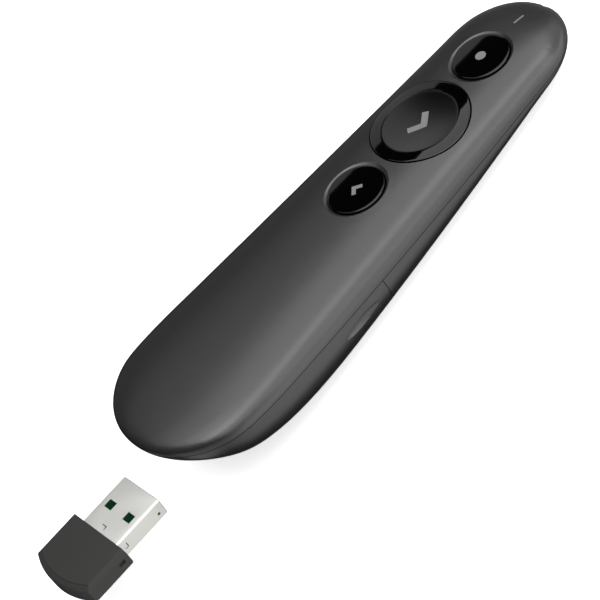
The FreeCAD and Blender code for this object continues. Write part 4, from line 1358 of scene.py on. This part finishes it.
@dataclass(frozen=True)
class Floor:
    """Pale floor under the body, which shows in glossy faces only at its right, ahead and round the receiver.

    The camera sees it glow a little near the body and be plain white far away.
    """

    half: float = 3.0
    drop: float = 0.0002
    pale: tuple[float, float, float, float] = (0.9, 0.9, 0.9, 1.0)
    glow: float = 0.6
    far_glow: float = 0.4
    far: tuple[float, float] = (0.12, 0.5)
    glossy_color: tuple[float, float, float, float] = (1.0, 1.0, 0.985, 1.0)
    lean: float = 0.06
    beside: tuple[Patch, Patch] = (Patch((0.018, 0.026), (-0.09, -0.005), 1.3),
                                   Patch((0.03, 0.05), (-0.10, -0.02), 1.3))
    ahead: tuple[float, float] = (0.074, 0.086)
    ahead_strength: float = 0.3
    behind: Patch = Patch((0.004, 0.010), (-0.046, -0.056), 0.75)

    def _patch(self, graph: Graph, patch: Patch, across: bpy.types.NodeSocket,
               along: bpy.types.NodeSocket) -> bpy.types.NodeSocket:
        """Works out the brightness of a patch: a smooth step across times one along times its strength.

        Args:
            graph: the floor's node tree.
            patch: the patch.
            across: output that grows to the right.
            along: output that grows towards the nose.

        Returns:
            Output of its brightness.
        """
        share = graph.times(graph.step(across, *patch.across), graph.step(along, *patch.along))
        return graph.times(share, patch.strength)

    def _seen(self, graph: Graph, reach: bpy.types.NodeSocket, camera: bpy.types.NodeSocket) -> bpy.types.NodeSocket:
        """Makes the floor that the camera and soft light meet: a pale matte face with a glow.

        Args:
            graph: the floor's node tree.
            reach: output of the distance from the body.
            camera: output that is 1 for what the camera sees.

        Returns:
            Output of the shader.
        """
        tree = graph.tree
        glow = tree.nodes.new("ShaderNodeEmission")
        far = graph.times(graph.step(reach, *self.far), camera)
        tree.links.new(graph.plus(graph.times(far, self.far_glow), self.glow), glow.inputs["Strength"])
        both = tree.nodes.new("ShaderNodeAddShader")
        tree.links.new(graph.shader("ShaderNodeBsdfDiffuse", "BSDF", self.pale), both.inputs[0])
        tree.links.new(glow.outputs["Emission"], both.inputs[1])
        return both.outputs["Shader"]

    def _mirrored(self, graph: Graph, across: bpy.types.NodeSocket,
                  along: bpy.types.NodeSocket) -> bpy.types.NodeSocket:
        """Makes the floor that glossy faces show.

        The patches beside the body lie in a frame that leans with the flank. They and the stretch ahead add up. The
        patch behind the tail shows where it is the brighter.

        Args:
            graph: the floor's node tree.
            across: output of the place across the body.
            along: output of the place along it.

        Returns:
            Output of the shader.
        """
        tree = graph.tree
        skew = graph.plus(across, graph.times(along, self.lean))
        near, wide = (self._patch(graph, patch, skew, along) for patch in self.beside)
        ahead = graph.times(graph.step(along, *self.ahead), self.ahead_strength)
        behind = self._patch(graph, self.behind, across, along)
        glossy = tree.nodes.new("ShaderNodeEmission")
        glossy.inputs["Color"].default_value = self.glossy_color
        bright = graph.combine("MAXIMUM", graph.plus(graph.plus(near, wide), ahead), behind)
        tree.links.new(bright, glossy.inputs["Strength"])
        return glossy.outputs["Emission"]

    def _material(self) -> bpy.types.Material:
        """Makes the floor's material.

        Returns:
            The material.
        """
        material = bpy.data.materials.new("floor_white")
        material.use_nodes = True
        tree = material.node_tree
        tree.nodes.clear()
        graph = Graph(tree)
        out = tree.nodes.new("ShaderNodeOutputMaterial")
        path = tree.nodes.new("ShaderNodeLightPath")
        place = tree.nodes.new("ShaderNodeTexCoord").outputs["Object"]
        split = tree.nodes.new("ShaderNodeSeparateXYZ")
        tree.links.new(place, split.inputs["Vector"])
        reach = tree.nodes.new("ShaderNodeVectorMath")
        reach.operation = "LENGTH"
        tree.links.new(place, reach.inputs[0])
        seen = self._seen(graph, reach.outputs["Value"], path.outputs["Is Camera Ray"])
        mirrored = self._mirrored(graph, split.outputs["X"], split.outputs["Y"])
        tree.links.new(graph.mix(path.outputs["Is Glossy Ray"], seen, mirrored), out.inputs["Surface"])
        return material

    def make(self) -> None:
        """Puts the floor in the scene as a square just under the body."""
        half = self.half
        mesh = bpy.data.meshes.new("floor")
        mesh.from_pydata([(-half, -half, 0), (half, -half, 0), (half, half, 0), (-half, half, 0)], [], [(0, 1, 2, 3)])
        mesh.materials.append(self._material())
        floor = bpy.data.objects.new("floor", mesh)
        floor.location.z = -self.drop
        bpy.context.scene.collection.objects.link(floor)


def main() -> None:
    """Builds the looks on the frame, the studio and the camera."""
    logging.basicConfig(level=logging.INFO)
    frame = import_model()
    dress_nodes(frame["nodes"])
    for assembly in (BackButton(), LaserButton(), NextButton(), Receiver()):
        assembly.build()
    Camera().make()
    make_world()
    Floor().make()
    make_lights(frame["nodes"])
    scene = bpy.context.scene
    scene.view_settings.view_transform = "Standard"


if __name__ == "__main__":
    main()
